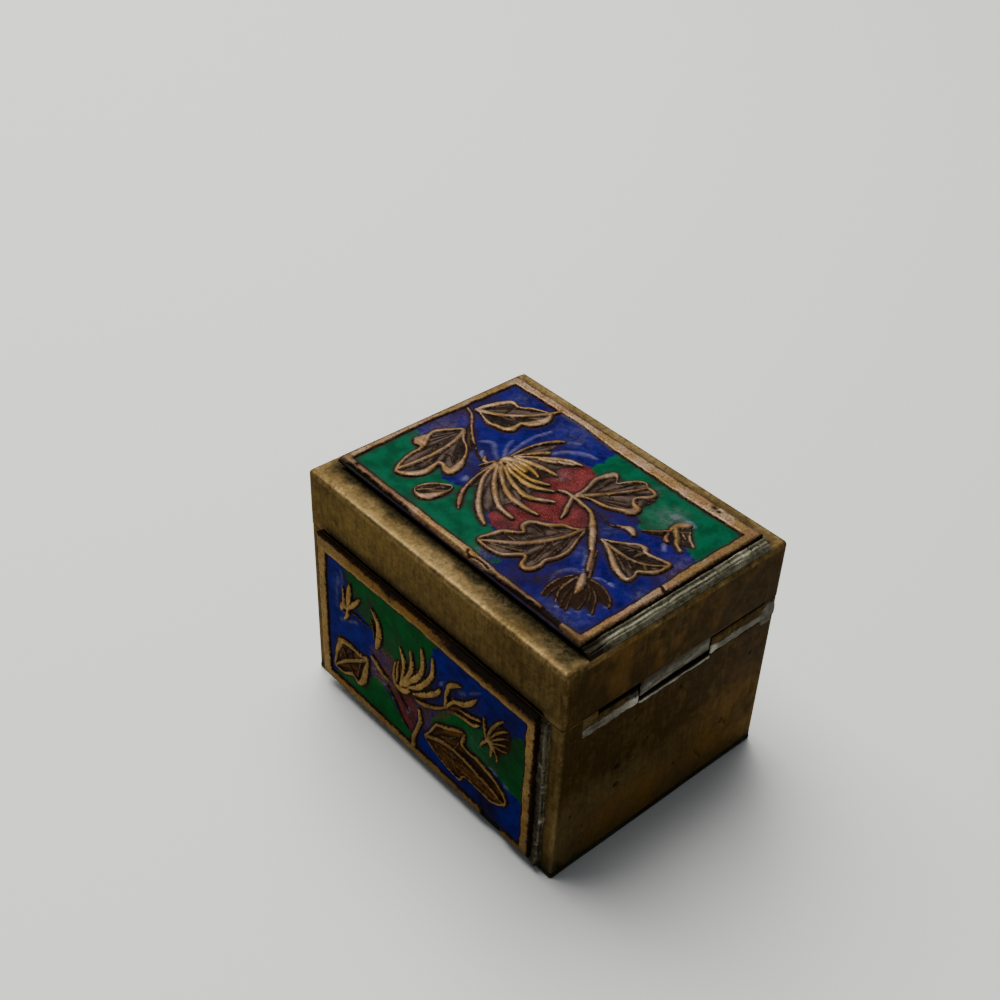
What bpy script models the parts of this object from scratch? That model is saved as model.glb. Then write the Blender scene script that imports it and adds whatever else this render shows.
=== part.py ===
"""A small hinged brass box with enamelled relief panels on its lid, front and back.

The long side with the enamelled panel is the front and faces -Y. The lid's hinge is
at the +X end. The origin is in the middle of the underside, +Z is up, and the units
are metres. Panel motifs are given in millimetres from a panel's lower left corner.
"""

import math

import bpy
from mathutils import Matrix, Vector

MM = 0.001

# Box and lid
LENGTH = 60.0 * MM
DEPTH = 46.0 * MM
LID_TOP = 43.1 * MM
LID_EDGE = 32.4 * MM
RIM = 32.2 * MM
WALL = 1.2 * MM
LID_EDGE_RADIUS = 0.7 * MM
CORNER_RADIUS = 0.4 * MM
WALL_STEP = 0.15 * MM
BASE_THICKNESS = 0.9 * MM
BASE_EDGE_WIDTH = 0.2 * MM
SEAT_GAP = 0.2 * MM

# Hinge in the seam of the +X end
HINGE_Z = 30.2 * MM
HINGE_INSET = 1.0 * MM
HINGE_FRONT = -18.4 * MM
HINGE_BACK = 19.8 * MM
MIDDLE_FRONT = -7.3 * MM
MIDDLE_BACK = 7.6 * MM
KNUCKLE_RADIUS = 1.1 * MM
KNUCKLE_BORE = 0.65 * MM
KNUCKLE_GAP = 0.4 * MM
PIN_RADIUS = 0.42 * MM
NOTCH_FLOOR = 28.4 * MM
LID_NOTCH = 0.35 * MM
WEB_THICKNESS = 1.0 * MM
WEB_INSET = 0.01 * MM
FILED_INSET = 0.05 * MM
FILING_REACH = 4.0 * MM

# Enamelled panels: a plate with a sunk pocket, and the relief that stands in it
ENAMEL_LEVEL = 0.60 * MM
BORDER_HEIGHT = 0.30 * MM
FIELD_HEIGHT = 0.10 * MM
RIDGE_HEIGHT = 0.85
WELD_DISTANCE = 0.001 * MM
TOP_SIZE = (55.4 * MM, 38.0 * MM)
TOP_BORDER = (1.6 * MM, 2.1 * MM, 1.7 * MM, 2.0 * MM)
TOP_CENTRE = (0.0 * MM, 0.3 * MM)
SIDE_SIZE = (52.6 * MM, 30.9 * MM)
SIDE_BORDER = (2.3 * MM, 2.2 * MM, 1.6 * MM, 2.5 * MM)
SIDE_BOTTOM = 2.2 * MM
FRONT_SHIFT = -0.4 * MM

# Solder beds
TOP_BED = 0.55 * MM
SIDE_BED = 0.25 * MM
BED_INSET = 0.7 * MM
BED_EDGE_WIDTH = 0.1 * MM
TOP_BED_LEDGE = 1.3 * MM
SIDE_BED_LEDGE = 1.5 * MM


def clear_scene():
    for old in list(bpy.data.objects):
        bpy.data.objects.remove(old, do_unlink=True)


def new_collection(name):
    collection = bpy.data.collections.new(name)
    bpy.context.scene.collection.children.link(collection)
    return collection


def new_material(name, colour, roughness, metallic):
    material = bpy.data.materials.new(name)
    material.use_nodes = True
    shader = material.node_tree.nodes["Principled BSDF"]
    shader.inputs["Base Color"].default_value = (*colour, 1.0)
    shader.inputs["Roughness"].default_value = roughness
    shader.inputs["Metallic"].default_value = metallic
    return material


def add_part(obj, material):
    for old in list(obj.users_collection):
        old.objects.unlink(obj)
    parts.objects.link(obj)
    obj.data.materials.clear()
    obj.data.materials.append(material)
    return obj


def add_cutter(obj):
    for old in list(obj.users_collection):
        old.objects.unlink(obj)
    cutters.objects.link(obj)
    obj.hide_render = True
    obj.display_type = "WIRE"
    return obj


def make_box(name, low, high):
    """A block between two corners, with its origin at its centre."""
    centre = (Vector(low) + Vector(high)) / 2
    bpy.ops.mesh.primitive_cube_add(size=1.0, location=centre)
    obj = bpy.context.object
    obj.name = name
    obj.data.transform(Matrix.Diagonal((*(Vector(high) - Vector(low)), 1.0)))
    return obj


def make_rod(name, radius, y_low, y_high, sides):
    """A round bar along the hinge axis."""
    middle = (hinge_x, (y_low + y_high) / 2, HINGE_Z)
    bpy.ops.mesh.primitive_cylinder_add(vertices=sides, radius=radius, depth=y_high - y_low)
    obj = bpy.context.object
    obj.name = name
    obj.data.transform(Matrix.Rotation(math.pi / 2, 4, "X"))
    obj.location = middle
    return obj


def boolean(obj, other, operation, with_self=False):
    modifier = obj.modifiers.new(operation.title(), "BOOLEAN")
    modifier.operation = operation
    modifier.solver = "EXACT"
    modifier.object = other
    modifier.use_self = with_self


def bevel(obj, width, segments, angle=30.0):
    modifier = obj.modifiers.new("Rounded edges", "BEVEL")
    modifier.width = width
    modifier.segments = segments
    modifier.limit_method = "ANGLE"
    modifier.angle_limit = math.radians(angle)


def bevel_upright_edges(obj, width, segments):
    """Round only the four upright corners of a block."""
    weights = obj.data.attributes.new("bevel_weight_edge", "FLOAT", "EDGE")
    for edge in obj.data.edges:
        first, last = (obj.data.vertices[index].co for index in edge.vertices)
        weights.data[edge.index].value = float(abs(first.z - last.z) > width)
    modifier = obj.modifiers.new("Rounded corners", "BEVEL")
    modifier.width = width
    modifier.segments = segments
    modifier.limit_method = "WEIGHT"


def smooth_path(points, steps, closed=False):
    """Points of a Catmull-Rom curve through the given ones."""
    count = len(points)
    path = []
    for span in range(count if closed else count - 1):
        if closed:
            before, start, end, after = (points[(span + k - 1) % count] for k in range(4))
        else:
            before, start, end, after = (points[min(max(span + k - 1, 0), count - 1)] for k in range(4))
        for step in range(steps):
            t = step / steps
            path.append(tuple(
                0.5 * (2 * b + (c - a) * t + (2 * a - 5 * b + 4 * c - d) * t * t
                       + (3 * b - a - 3 * c + d) * t ** 3)
                for a, b, c, d in zip(before, start, end, after)))
    if not closed:
        path.append(tuple(points[-1]))
    return path


class Relief:
    """Collects the ridges and raised fields of one panel, in its own plane."""

    def __init__(self, name):
        self.name = name
        self.ridges = bpy.data.curves.new(name + "_ridges", "CURVE")
        self.ridges.dimensions = "3D"
        self.ridges.twist_mode = "Z_UP"
        self.ridges.bevel_depth = MM
        self.ridges.bevel_resolution = 1
        self.ridges.use_fill_caps = True
        self.fields = bpy.data.curves.new(name + "_fields", "CURVE")
        self.fields.dimensions = "2D"
        self.fields.fill_mode = "BOTH"
        self.fields.extrude = (ENAMEL_LEVEL / 2 + FIELD_HEIGHT) / 2

    def ridge(self, points, width, start=1.0, end=0.5, steps=3, closed=False):
        """A rounded ridge along a path; start and end scale its width at the two ends."""
        path = smooth_path(points, steps, closed)
        spline = self.ridges.splines.new("POLY")
        spline.points.add(len(path) - 1)
        last = len(path) - 1
        for index, (u, v) in enumerate(path):
            along = index / last
            swell = 1.0 if closed else taper(along, start, end)
            spline.points[index].co = (u * MM, v * MM, 0.0, 1.0)
            spline.points[index].radius = width / 2 * swell
        spline.use_cyclic_u = closed

    def field(self, outline, steps=2):
        """A flat raised field inside a closed outline."""
        path = smooth_path(outline, steps, closed=True)
        spline = self.fields.splines.new("POLY")
        spline.points.add(len(path) - 1)
        for index, (u, v) in enumerate(path):
            spline.points[index].co = (u * MM, v * MM, 0.0, 1.0)
        spline.use_cyclic_u = True

    def leaf(self, outline, midrib, rim=1.0, rib=0.8):
        """A lobed leaf: a raised field, a rim round it and a midrib."""
        self.field(outline)
        self.ridge(outline, rim, steps=2, closed=True)
        self.ridge(midrib, rib, start=1.0, end=0.6)

    def flower(self, petals, width):
        """Petals that start narrow at the base and are widest near the tip."""
        for petal in petals:
            self.ridge(petal, width, start=0.55, end=0.45)

    def bud(self, hub, tips, width):
        """Short petals that fan out of one point."""
        for number, tip in enumerate(tips):
            shift = 0.06 * (number + 1)
            root = (hub[0] + shift * (tip[0] - hub[0]), hub[1] + shift * (tip[1] - hub[1]))
            self.ridge([root, tip], width, start=0.8, end=0.35, steps=2)

    def build(self):
        """One closed mesh per ridge and field, joined into a single cutter object."""
        meshes = []
        for curve, height, rise in (
            (self.ridges, RIDGE_HEIGHT, ENAMEL_LEVEL),
            (self.fields, 1.0, ENAMEL_LEVEL / 2 + (ENAMEL_LEVEL / 2 + FIELD_HEIGHT) / 2),
        ):
            if not curve.splines:
                continue
            obj = bpy.data.objects.new(curve.name, curve)
            cutters.objects.link(obj)
            shape = obj.evaluated_get(bpy.context.evaluated_depsgraph_get())
            mesh = bpy.data.meshes.new_from_object(shape)
            mesh.transform(Matrix.Translation((0, 0, rise)) @ Matrix.Diagonal((1, 1, height, 1)))
            meshes.append(mesh)
            bpy.data.objects.remove(obj)
        return join_meshes(self.name + "_relief", meshes)


def taper(along, start, end):
    """Width along a ridge: start and end factors, full width at 60% of its length."""
    crest = 0.6
    if along < crest:
        return start + (1.0 - start) * math.sin(along / crest * math.pi / 2)
    return end + (1.0 - end) * math.cos((along - crest) / (1.0 - crest) * math.pi / 2)


def join_meshes(name, meshes):
    """Join meshes into one cutter object, with each tube's caps welded on."""
    objects = []
    for mesh in meshes:
        obj = bpy.data.objects.new(name, mesh)
        bpy.context.scene.collection.objects.link(obj)
        objects.append(obj)
    bpy.ops.object.select_all(action="DESELECT")
    for obj in objects:
        obj.select_set(True)
    bpy.context.view_layer.objects.active = objects[0]
    if len(objects) > 1:
        bpy.ops.object.join()
    joined = bpy.context.view_layer.objects.active
    bpy.ops.object.mode_set(mode="EDIT")
    bpy.ops.mesh.select_all(action="SELECT")
    bpy.ops.mesh.remove_doubles(threshold=WELD_DISTANCE)
    bpy.ops.mesh.normals_make_consistent(inside=False)
    bpy.ops.object.mode_set(mode="OBJECT")
    joined.data.materials.clear()
    return add_cutter(joined)


def make_panel(name, size, border, relief, material):
    """A metal plate whose sunk pocket is filled with enamel, with relief standing in it."""
    width, height = size
    left, bottom, right, top = border
    plate = make_box(name, (0, 0, 0), (width, height, ENAMEL_LEVEL + BORDER_HEIGHT))
    pocket = make_box(
        name + "_pocket",
        (left, bottom, ENAMEL_LEVEL),
        (width - right, height - top, ENAMEL_LEVEL + 2 * BORDER_HEIGHT))
    for obj in (plate, pocket):
        obj.data.transform(Matrix.Translation(obj.location))
        obj.location = (0, 0, 0)
    shape = relief.build()
    boolean(plate, pocket, "DIFFERENCE")
    boolean(plate, shape, "UNION", with_self=True)
    add_cutter(pocket)
    pocket.parent = plate
    shape.parent = plate
    return add_part(plate, material)


def top_relief():
    """Flower spray on the lid: a chrysanthemum, five leaves and three buds."""
    relief = Relief("top")
    relief.leaf(
        [(3.3, 26.0), (3.9, 29.3), (5.2, 32.5), (7.0, 31.5), (9.2, 33.3), (12.0, 35.4),
         (13.5, 33.0), (12.7, 30.3), (10.7, 29.1), (11.9, 27.3), (10.2, 25.3), (7.2, 25.0)],
        [(3.6, 26.2), (7.7, 29.3), (10.9, 33.6)])
    relief.leaf(
        [(6.7, 20.8), (4.9, 18.8), (3.7, 15.6), (2.9, 13.2), (3.8, 11.8), (5.4, 12.3), (6.2, 9.0),
         (7.5, 6.3), (8.7, 4.7), (10.8, 5.7), (12.0, 8.0), (11.6, 10.9), (13.9, 10.1),
         (14.6, 12.1), (13.5, 14.5), (12.3, 16.6), (9.7, 19.0)],
        [(6.8, 20.4), (8.3, 15.8), (8.9, 10.8), (8.5, 6.2)])
    relief.leaf(
        [(31.0, 23.2), (30.3, 26.2), (29.6, 28.4), (30.0, 30.6), (31.0, 32.1), (32.2, 31.4),
         (33.0, 30.0), (34.0, 32.6), (35.6, 34.0), (38.4, 32.9), (38.1, 30.2), (37.5, 29.1),
         (40.0, 28.8), (40.6, 27.0), (39.5, 26.0), (36.8, 24.8), (34.2, 24.1)],
        [(31.3, 23.6), (33.2, 26.8), (35.5, 30.8), (36.4, 32.4)])
    relief.leaf(
        [(38.2, 18.3), (35.2, 16.6), (33.0, 14.9), (30.8, 13.4), (30.9, 11.7), (32.5, 10.7),
         (30.9, 9.2), (29.6, 6.9), (29.0, 4.3), (31.2, 3.8), (33.5, 4.4), (35.0, 5.7),
         (36.3, 6.8), (37.5, 5.3), (39.1, 4.9), (39.9, 6.4), (40.0, 9.0), (40.3, 11.8),
         (39.8, 15.0)],
        [(38.0, 17.8), (37.0, 13.8), (34.9, 9.6), (31.7, 6.1), (30.0, 4.9)])
    relief.leaf(
        [(41.0, 18.3), (43.0, 20.0), (44.6, 21.7), (46.4, 22.2), (47.5, 20.9), (49.6, 21.7),
         (51.6, 22.3), (51.7, 20.5), (51.0, 18.6), (50.0, 17.3), (50.3, 15.8), (49.6, 14.8),
         (48.0, 15.1), (44.7, 16.6)],
        [(41.4, 18.2), (46.2, 18.6), (49.0, 19.6), (50.8, 21.2)])
    relief.leaf(
        [(13.5, 4.6), (14.4, 7.0), (16.2, 9.2), (17.6, 9.2), (17.8, 6.2), (16.6, 4.0), (14.9, 3.6)],
        [(14.0, 4.9), (17.0, 8.6)], rim=0.8, rib=0.5)
    relief.flower(
        [[(16.0, 20.8), (15.3, 25.3), (15.6, 30.6)],
         [(16.3, 21.3), (16.4, 25.8), (17.4, 30.0)],
         [(16.5, 21.3), (18.0, 26.3), (21.0, 32.6)],
         [(16.9, 21.8), (19.7, 28.0), (25.2, 32.0)],
         [(16.5, 18.3), (17.0, 13.8), (18.7, 9.3), (21.7, 6.3)]], 0.7)
    relief.flower(
        [[(17.0, 21.8), (19.2, 25.3), (23.0, 28.1), (26.0, 29.1)],
         [(17.2, 21.8), (20.7, 24.4), (25.2, 24.3)],
         [(17.2, 21.3), (19.2, 22.4), (23.2, 22.1)],
         [(20.5, 19.9), (23.7, 20.2), (26.2, 21.4)],
         [(17.2, 19.8), (21.2, 18.8), (24.7, 19.1), (27.7, 20.8)],
         [(17.2, 19.6), (20.7, 17.8), (24.7, 17.2), (29.9, 19.3)],
         [(17.0, 19.3), (19.7, 16.5), (23.7, 15.0), (30.7, 15.1)],
         [(16.9, 19.1), (19.0, 15.1), (22.7, 12.6), (28.9, 11.5)],
         [(16.7, 18.8), (18.3, 14.8), (21.2, 10.8), (27.4, 7.4)]], 1.0)
    relief.ridge([(16.4, 18.0), (16.1, 20.0), (17.6, 22.0)], 1.0, start=0.8, end=0.7)
    relief.ridge([(2.2, 25.3), (5.7, 23.3), (7.7, 21.3), (11.7, 19.3), (14.7, 17.8), (16.0, 19.4)], 0.8)
    relief.ridge([(28.2, 22.0), (31.7, 22.3), (35.7, 21.1), (38.7, 19.1), (40.7, 17.3),
                  (42.7, 14.8), (45.6, 11.3)], 0.9, start=0.7, end=0.8)
    relief.ridge([(31.5, 22.1), (32.6, 19.8), (33.2, 17.8)], 0.8)
    relief.ridge([(36.7, 21.8), (39.7, 22.6), (43.2, 23.8), (46.2, 27.8)], 0.6, start=0.6, end=0.8)
    relief.bud((45.9, 10.5), [(42.2, 8.8), (43.2, 5.8), (44.2, 3.8), (46.9, 4.3), (49.7, 4.8),
                              (51.9, 6.3), (52.0, 9.3), (50.2, 12.3)], 0.6)
    relief.bud((46.4, 28.0), [(47.7, 31.2), (49.2, 30.2), (50.2, 28.4), (50.0, 25.7), (47.3, 26.0)], 0.7)
    return relief


def front_relief():
    """Flower spray on the front: a chrysanthemum, two leaves, a sprig and two buds."""
    relief = Relief("front")
    relief.leaf(
        [(3.7, 3.8), (4.0, 7.0), (4.4, 10.0), (5.2, 11.9), (7.4, 12.5), (10.4, 12.1), (12.9, 12.3),
         (13.0, 9.5), (12.0, 7.0), (11.0, 4.6), (8.4, 4.2)],
        [(4.0, 4.2), (8.3, 8.2), (12.3, 11.6)])
    relief.leaf(
        [(28.4, 6.8), (29.4, 9.5), (31.0, 12.5), (34.4, 13.8), (37.0, 15.4), (37.6, 13.3),
         (41.9, 12.7), (45.2, 11.0), (47.4, 8.8), (47.2, 7.3), (43.9, 5.4), (40.4, 5.4),
         (37.6, 5.3), (36.6, 3.6), (32.4, 4.0), (29.9, 5.7)],
        [(28.9, 6.9), (33.4, 9.3), (38.4, 9.7), (43.4, 8.8), (46.8, 7.8)])
    relief.flower(
        [[(21.4, 14.0), (20.2, 16.5), (20.2, 19.0)],
         [(21.7, 14.0), (21.6, 17.5), (21.7, 22.0)],
         [(22.4, 14.5), (24.2, 18.5), (24.3, 22.8)],
         [(22.7, 14.5), (26.6, 19.0), (27.2, 25.2)],
         [(23.2, 14.5), (27.9, 18.0), (29.9, 25.0)],
         [(23.9, 14.3), (28.4, 16.5), (31.7, 19.8)],
         [(24.9, 14.0), (28.9, 14.7), (31.9, 17.0)]], 1.0)
    relief.ridge([(20.4, 13.6), (22.0, 13.0), (24.0, 13.6)], 1.0, start=0.8, end=0.7)
    relief.ridge([(14.4, 14.5), (16.9, 12.5), (18.8, 12.0)], 0.9, start=0.5)
    relief.ridge([(25.9, 12.5), (26.9, 10.0), (25.9, 6.5), (24.9, 2.6)], 0.9, start=0.6, end=0.8)
    relief.ridge([(20.6, 12.4), (22.6, 8.2), (24.4, 3.6)], 0.7, start=0.6, end=0.6)
    relief.ridge([(14.4, 24.6), (16.4, 21.0), (15.9, 17.0)], 1.2, start=0.4, end=0.4)
    relief.ridge([(8.6, 20.2), (10.9, 20.3), (13.4, 19.4)], 0.6)
    relief.ridge([(33.4, 18.5), (33.7, 22.5), (36.4, 24.8)], 0.8)
    relief.ridge([(33.6, 18.3), (36.9, 20.9), (40.4, 25.0)], 0.8)
    relief.ridge([(34.2, 17.6), (38.0, 18.8), (41.0, 19.6)], 0.7)
    relief.bud((8.0, 20.3), [(8.6, 25.8), (10.9, 23.9), (6.7, 24.1), (5.7, 20.2), (6.9, 17.4)], 0.7)
    relief.bud((43.9, 19.0), [(41.9, 22.5), (45.5, 24.0), (47.6, 22.5), (48.0, 20.0), (44.4, 16.0),
                              (42.4, 16.5)], 0.7)
    return relief


def back_relief():
    """A plainer sprig on the back: one flower between two leaves."""
    relief = Relief("back")
    relief.leaf(
        [(8.0, 13.5), (9.5, 17.5), (13.0, 20.0), (14.2, 17.6), (17.5, 17.2), (20.0, 13.4),
         (16.6, 11.0), (14.4, 11.6), (12.2, 9.4)],
        [(8.5, 13.6), (13.5, 14.6), (18.8, 13.5)])
    relief.leaf(
        [(45.0, 17.0), (43.0, 20.6), (39.6, 21.4), (38.6, 19.0), (35.2, 18.2), (33.2, 15.0),
         (36.4, 13.4), (38.8, 13.8), (41.0, 11.8)],
        [(44.4, 16.9), (39.6, 16.6), (34.4, 15.2)])
    fan = range(-3, 4)
    hub = (26.3, 12.0)
    for step in fan:
        angle = math.radians(90 - 22 * step)
        bend = math.radians(90 - 15 * step)
        relief.ridge(
            [(hub[0] + 0.5 * step, hub[1]),
             (hub[0] + 6.0 * math.cos(bend), hub[1] + 6.0 * math.sin(bend)),
             (hub[0] + 11.0 * math.cos(angle), hub[1] + 11.0 * math.sin(angle))],
            1.0, start=0.55, end=0.45)
    relief.ridge([(24.4, 12.0), (26.3, 11.0), (28.2, 12.0)], 0.9, start=0.8, end=0.8)
    relief.ridge([(20.0, 13.2), (23.0, 9.0), (26.3, 7.6), (30.0, 9.6), (33.4, 14.8)], 0.8, start=0.7)
    relief.ridge([(26.3, 11.0), (26.6, 7.6), (25.4, 3.4)], 0.8)
    return relief


def make_walls():
    face = LENGTH / 2 - WALL_STEP
    side = DEPTH / 2 - WALL_STEP
    floor = BASE_THICKNESS + SEAT_GAP
    walls = make_box("box_walls", (-face, -side, floor), (face, side, RIM))
    bevel_upright_edges(walls, CORNER_RADIUS, 2)
    room = make_box(
        "room", (WALL - face, WALL - side, 0), (face - WALL, side - WALL, LID_TOP))
    notch = make_box(
        "hinge_notch",
        (face - 2 * WALL, HINGE_FRONT - KNUCKLE_GAP, NOTCH_FLOOR),
        (face + WALL, HINGE_BACK + KNUCKLE_GAP, LID_TOP))
    boolean(walls, room, "DIFFERENCE")
    boolean(walls, notch, "DIFFERENCE")
    add_cutter(room)
    add_cutter(notch)
    return add_part(walls, brass)


def make_base():
    base = make_box(
        "base_plate", (-LENGTH / 2, -DEPTH / 2, 0), (LENGTH / 2, DEPTH / 2, BASE_THICKNESS))
    bevel(base, BASE_EDGE_WIDTH, 1)
    return add_part(base, brass)


def make_lid():
    lid = make_box("lid_cap", (-LENGTH / 2, -DEPTH / 2, LID_EDGE), (LENGTH / 2, DEPTH / 2, LID_TOP))
    weights = lid.data.attributes.new("bevel_weight_edge", "FLOAT", "EDGE")
    half = (LID_TOP - LID_EDGE) / 2
    for edge in lid.data.edges:
        ends = [lid.data.vertices[index].co.z for index in edge.vertices]
        weights.data[edge.index].value = float(max(ends) > 0.9 * half)
    rounding = lid.modifiers.new("Worn edges", "BEVEL")
    rounding.width = LID_EDGE_RADIUS
    rounding.segments = 3
    rounding.limit_method = "WEIGHT"
    inner_x = LENGTH / 2 - WALL
    inner_y = DEPTH / 2 - WALL
    room = make_box("lid_room", (-inner_x, -inner_y, 0), (inner_x, inner_y, LID_TOP - WALL))
    notch = make_box(
        "lid_notch",
        (LENGTH / 2 - 2 * WALL, MIDDLE_FRONT - SEAT_GAP, 0),
        (LENGTH / 2 + WALL, MIDDLE_BACK + SEAT_GAP, LID_EDGE + LID_NOTCH))
    boolean(lid, room, "DIFFERENCE")
    boolean(lid, notch, "DIFFERENCE")
    add_cutter(room)
    add_cutter(notch)
    lid.parent = lid_axis
    lid.matrix_parent_inverse = Matrix.Translation(lid_axis.location).inverted()
    return add_part(lid, brass)


def make_knuckle(name, y_low, y_high, web_low, web_high):
    """A hinge tube with the web of solder that holds it, filed flush with the wall."""
    tube = make_rod(name, KNUCKLE_RADIUS, y_low, y_high, 20)
    flat = LENGTH / 2 - WALL_STEP - FILED_INSET
    web = make_box(
        name + "_web",
        (flat - WEB_THICKNESS, y_low + WEB_INSET, web_low),
        (flat + WALL, y_high - WEB_INSET, web_high))
    bore = make_rod(name + "_bore", KNUCKLE_BORE, y_low - WALL, y_high + WALL, 16)
    filing = make_box(
        name + "_filing",
        (flat, y_low - WALL, HINGE_Z - FILING_REACH),
        (flat + FILING_REACH, y_high + WALL, HINGE_Z + FILING_REACH))
    boolean(tube, web, "UNION")
    boolean(tube, bore, "DIFFERENCE")
    boolean(tube, filing, "DIFFERENCE")
    for cutter in (web, bore, filing):
        add_cutter(cutter)
    return add_part(tube, brass)


def make_pin():
    pin = make_rod("hinge_pin", PIN_RADIUS, HINGE_FRONT - KNUCKLE_GAP / 2, HINGE_BACK + KNUCKLE_GAP / 2, 12)
    return add_part(pin, pin_metal)


def make_bed(name, low, high):
    bed = make_box(name, low, high)
    bevel(bed, BED_EDGE_WIDTH, 1)
    return add_part(bed, solder)


clear_scene()
parts = new_collection("enamelled_brass_box")
cutters = new_collection("cutters")
brass = new_material("brass", (0.32, 0.24, 0.10), 0.42, 1.0)
pin_metal = new_material("hinge_wire", (0.25, 0.21, 0.14), 0.5, 1.0)
solder = new_material("solder", (0.30, 0.30, 0.27), 0.7, 0.6)
enamelled = new_material("enamelled_panel", (0.10, 0.12, 0.32), 0.35, 0.2)

hinge_x = LENGTH / 2 - WALL_STEP - HINGE_INSET
lid_axis = bpy.data.objects.new("lid_axis", None)
lid_axis.location = (hinge_x, 0, HINGE_Z)
parts.objects.link(lid_axis)

make_walls()
make_base()
make_lid()
web_floor = NOTCH_FLOOR + SEAT_GAP
make_knuckle("hinge_knuckle_front", HINGE_FRONT, MIDDLE_FRONT - KNUCKLE_GAP, web_floor, HINGE_Z)
make_knuckle("hinge_knuckle_back", MIDDLE_BACK + KNUCKLE_GAP, HINGE_BACK, web_floor, HINGE_Z)
middle = make_knuckle(
    "hinge_knuckle_middle", MIDDLE_FRONT, MIDDLE_BACK, HINGE_Z, LID_EDGE + LID_NOTCH - SEAT_GAP)
make_pin()

# The lid's panel lies on its bed of solder, which shows as a ledge at the hinge end.
top_low = (TOP_CENTRE[0] - TOP_SIZE[0] / 2, TOP_CENTRE[1] - TOP_SIZE[1] / 2)
top_high = (TOP_CENTRE[0] + TOP_SIZE[0] / 2, TOP_CENTRE[1] + TOP_SIZE[1] / 2)
top_bed = make_bed(
    "top_solder_bed",
    (top_low[0] + BED_INSET, top_low[1] + BED_INSET, LID_TOP + SEAT_GAP),
    (top_high[0] + TOP_BED_LEDGE, top_high[1], LID_TOP + SEAT_GAP + TOP_BED))
top_panel = make_panel("top_panel", TOP_SIZE, TOP_BORDER, top_relief(), enamelled)
top_panel.location = (*top_low, LID_TOP + TOP_BED + 2 * SEAT_GAP)

# The front and back panels stand on the walls in the same way, and reach past the seam.
side_face = DEPTH / 2 - WALL_STEP
side_back = side_face + SIDE_BED + 2 * SEAT_GAP
front_panel = make_panel("front_panel", SIDE_SIZE, SIDE_BORDER, front_relief(), enamelled)
front_panel.location = (FRONT_SHIFT - SIDE_SIZE[0] / 2, -side_back, SIDE_BOTTOM)
front_panel.rotation_euler = (math.pi / 2, 0, 0)
back_panel = make_panel("back_panel", SIDE_SIZE, SIDE_BORDER, back_relief(), enamelled)
back_panel.location = (SIDE_SIZE[0] / 2, side_back, SIDE_BOTTOM)
back_panel.rotation_euler = (math.pi / 2, 0, math.pi)
for name, middle_x, sign in (("front_solder_bed", FRONT_SHIFT, -1), ("back_solder_bed", 0.0, 1)):
    near = side_face + SEAT_GAP
    far = near + SIDE_BED
    y_pair = sorted((sign * near, sign * far))
    make_bed(
        name,
        (middle_x - SIDE_SIZE[0] / 2 + BED_INSET, y_pair[0], SIDE_BOTTOM + BED_INSET),
        (middle_x + SIDE_SIZE[0] / 2 + SIDE_BED_LEDGE, y_pair[1], RIM - SEAT_GAP))

for piece in (middle, top_bed, top_panel):
    piece.parent = lid_axis
    piece.matrix_parent_inverse = Matrix.Translation(lid_axis.location).inverted()
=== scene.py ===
"""The looks of a small hinged brass box with enamelled relief panels.

Sections follow the box as it is put together: where it stands, the base plate, the
walls, the panels on them, the hinge, and then the lid with its panel. Lengths are
millimetres until a mesh is made, and motifs are given from a panel's lower left corner.
"""

import math

import bpy
import numpy as np
from mathutils import Matrix, Vector


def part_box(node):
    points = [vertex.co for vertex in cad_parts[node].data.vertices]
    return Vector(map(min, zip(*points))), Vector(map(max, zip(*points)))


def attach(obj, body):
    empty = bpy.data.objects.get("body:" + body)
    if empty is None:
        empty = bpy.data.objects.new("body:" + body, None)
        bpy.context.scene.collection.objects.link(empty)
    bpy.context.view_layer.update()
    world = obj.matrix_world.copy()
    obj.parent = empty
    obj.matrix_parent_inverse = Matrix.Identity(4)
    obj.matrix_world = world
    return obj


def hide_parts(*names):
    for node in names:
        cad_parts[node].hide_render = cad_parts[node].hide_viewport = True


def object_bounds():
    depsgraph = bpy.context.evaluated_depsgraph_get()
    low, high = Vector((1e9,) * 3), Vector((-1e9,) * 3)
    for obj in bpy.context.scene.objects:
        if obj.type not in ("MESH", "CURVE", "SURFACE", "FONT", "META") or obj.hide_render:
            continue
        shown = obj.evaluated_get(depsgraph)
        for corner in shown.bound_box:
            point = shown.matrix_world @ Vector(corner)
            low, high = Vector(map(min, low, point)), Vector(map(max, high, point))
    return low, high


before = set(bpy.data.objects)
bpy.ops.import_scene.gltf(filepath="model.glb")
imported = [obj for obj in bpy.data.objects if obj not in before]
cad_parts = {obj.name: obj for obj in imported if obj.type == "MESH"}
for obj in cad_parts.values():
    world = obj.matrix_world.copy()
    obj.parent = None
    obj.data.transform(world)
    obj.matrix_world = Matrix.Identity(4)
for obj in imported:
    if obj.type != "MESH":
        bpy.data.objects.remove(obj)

cad_low, cad_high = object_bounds()


# Where the box stands.
# A plain pale table top under soft studio light, and a short telephoto view from above
# the near corner, where the front and the hinge end meet.
MM = 0.001


def stand_camera():
    lens = bpy.data.cameras.new("view")
    lens.sensor_width = 36.0
    lens.lens = 51.61
    lens.clip_start = 0.01
    lens.clip_end = 20.0
    camera = bpy.data.objects.new("view", lens)
    bpy.context.scene.collection.objects.link(camera)
    forward = Vector((-0.582, 0.5346, -0.6128)).normalized()
    right = Vector((0.6574, 0.7528, 0.0324)).normalized()
    up = right.cross(forward)
    turn = Matrix((right, up, -forward)).transposed().to_4x4()
    turn.translation = Vector((124.21, -123.1, 179.06)) * MM
    camera.matrix_world = turn
    bpy.context.scene.camera = camera


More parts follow.
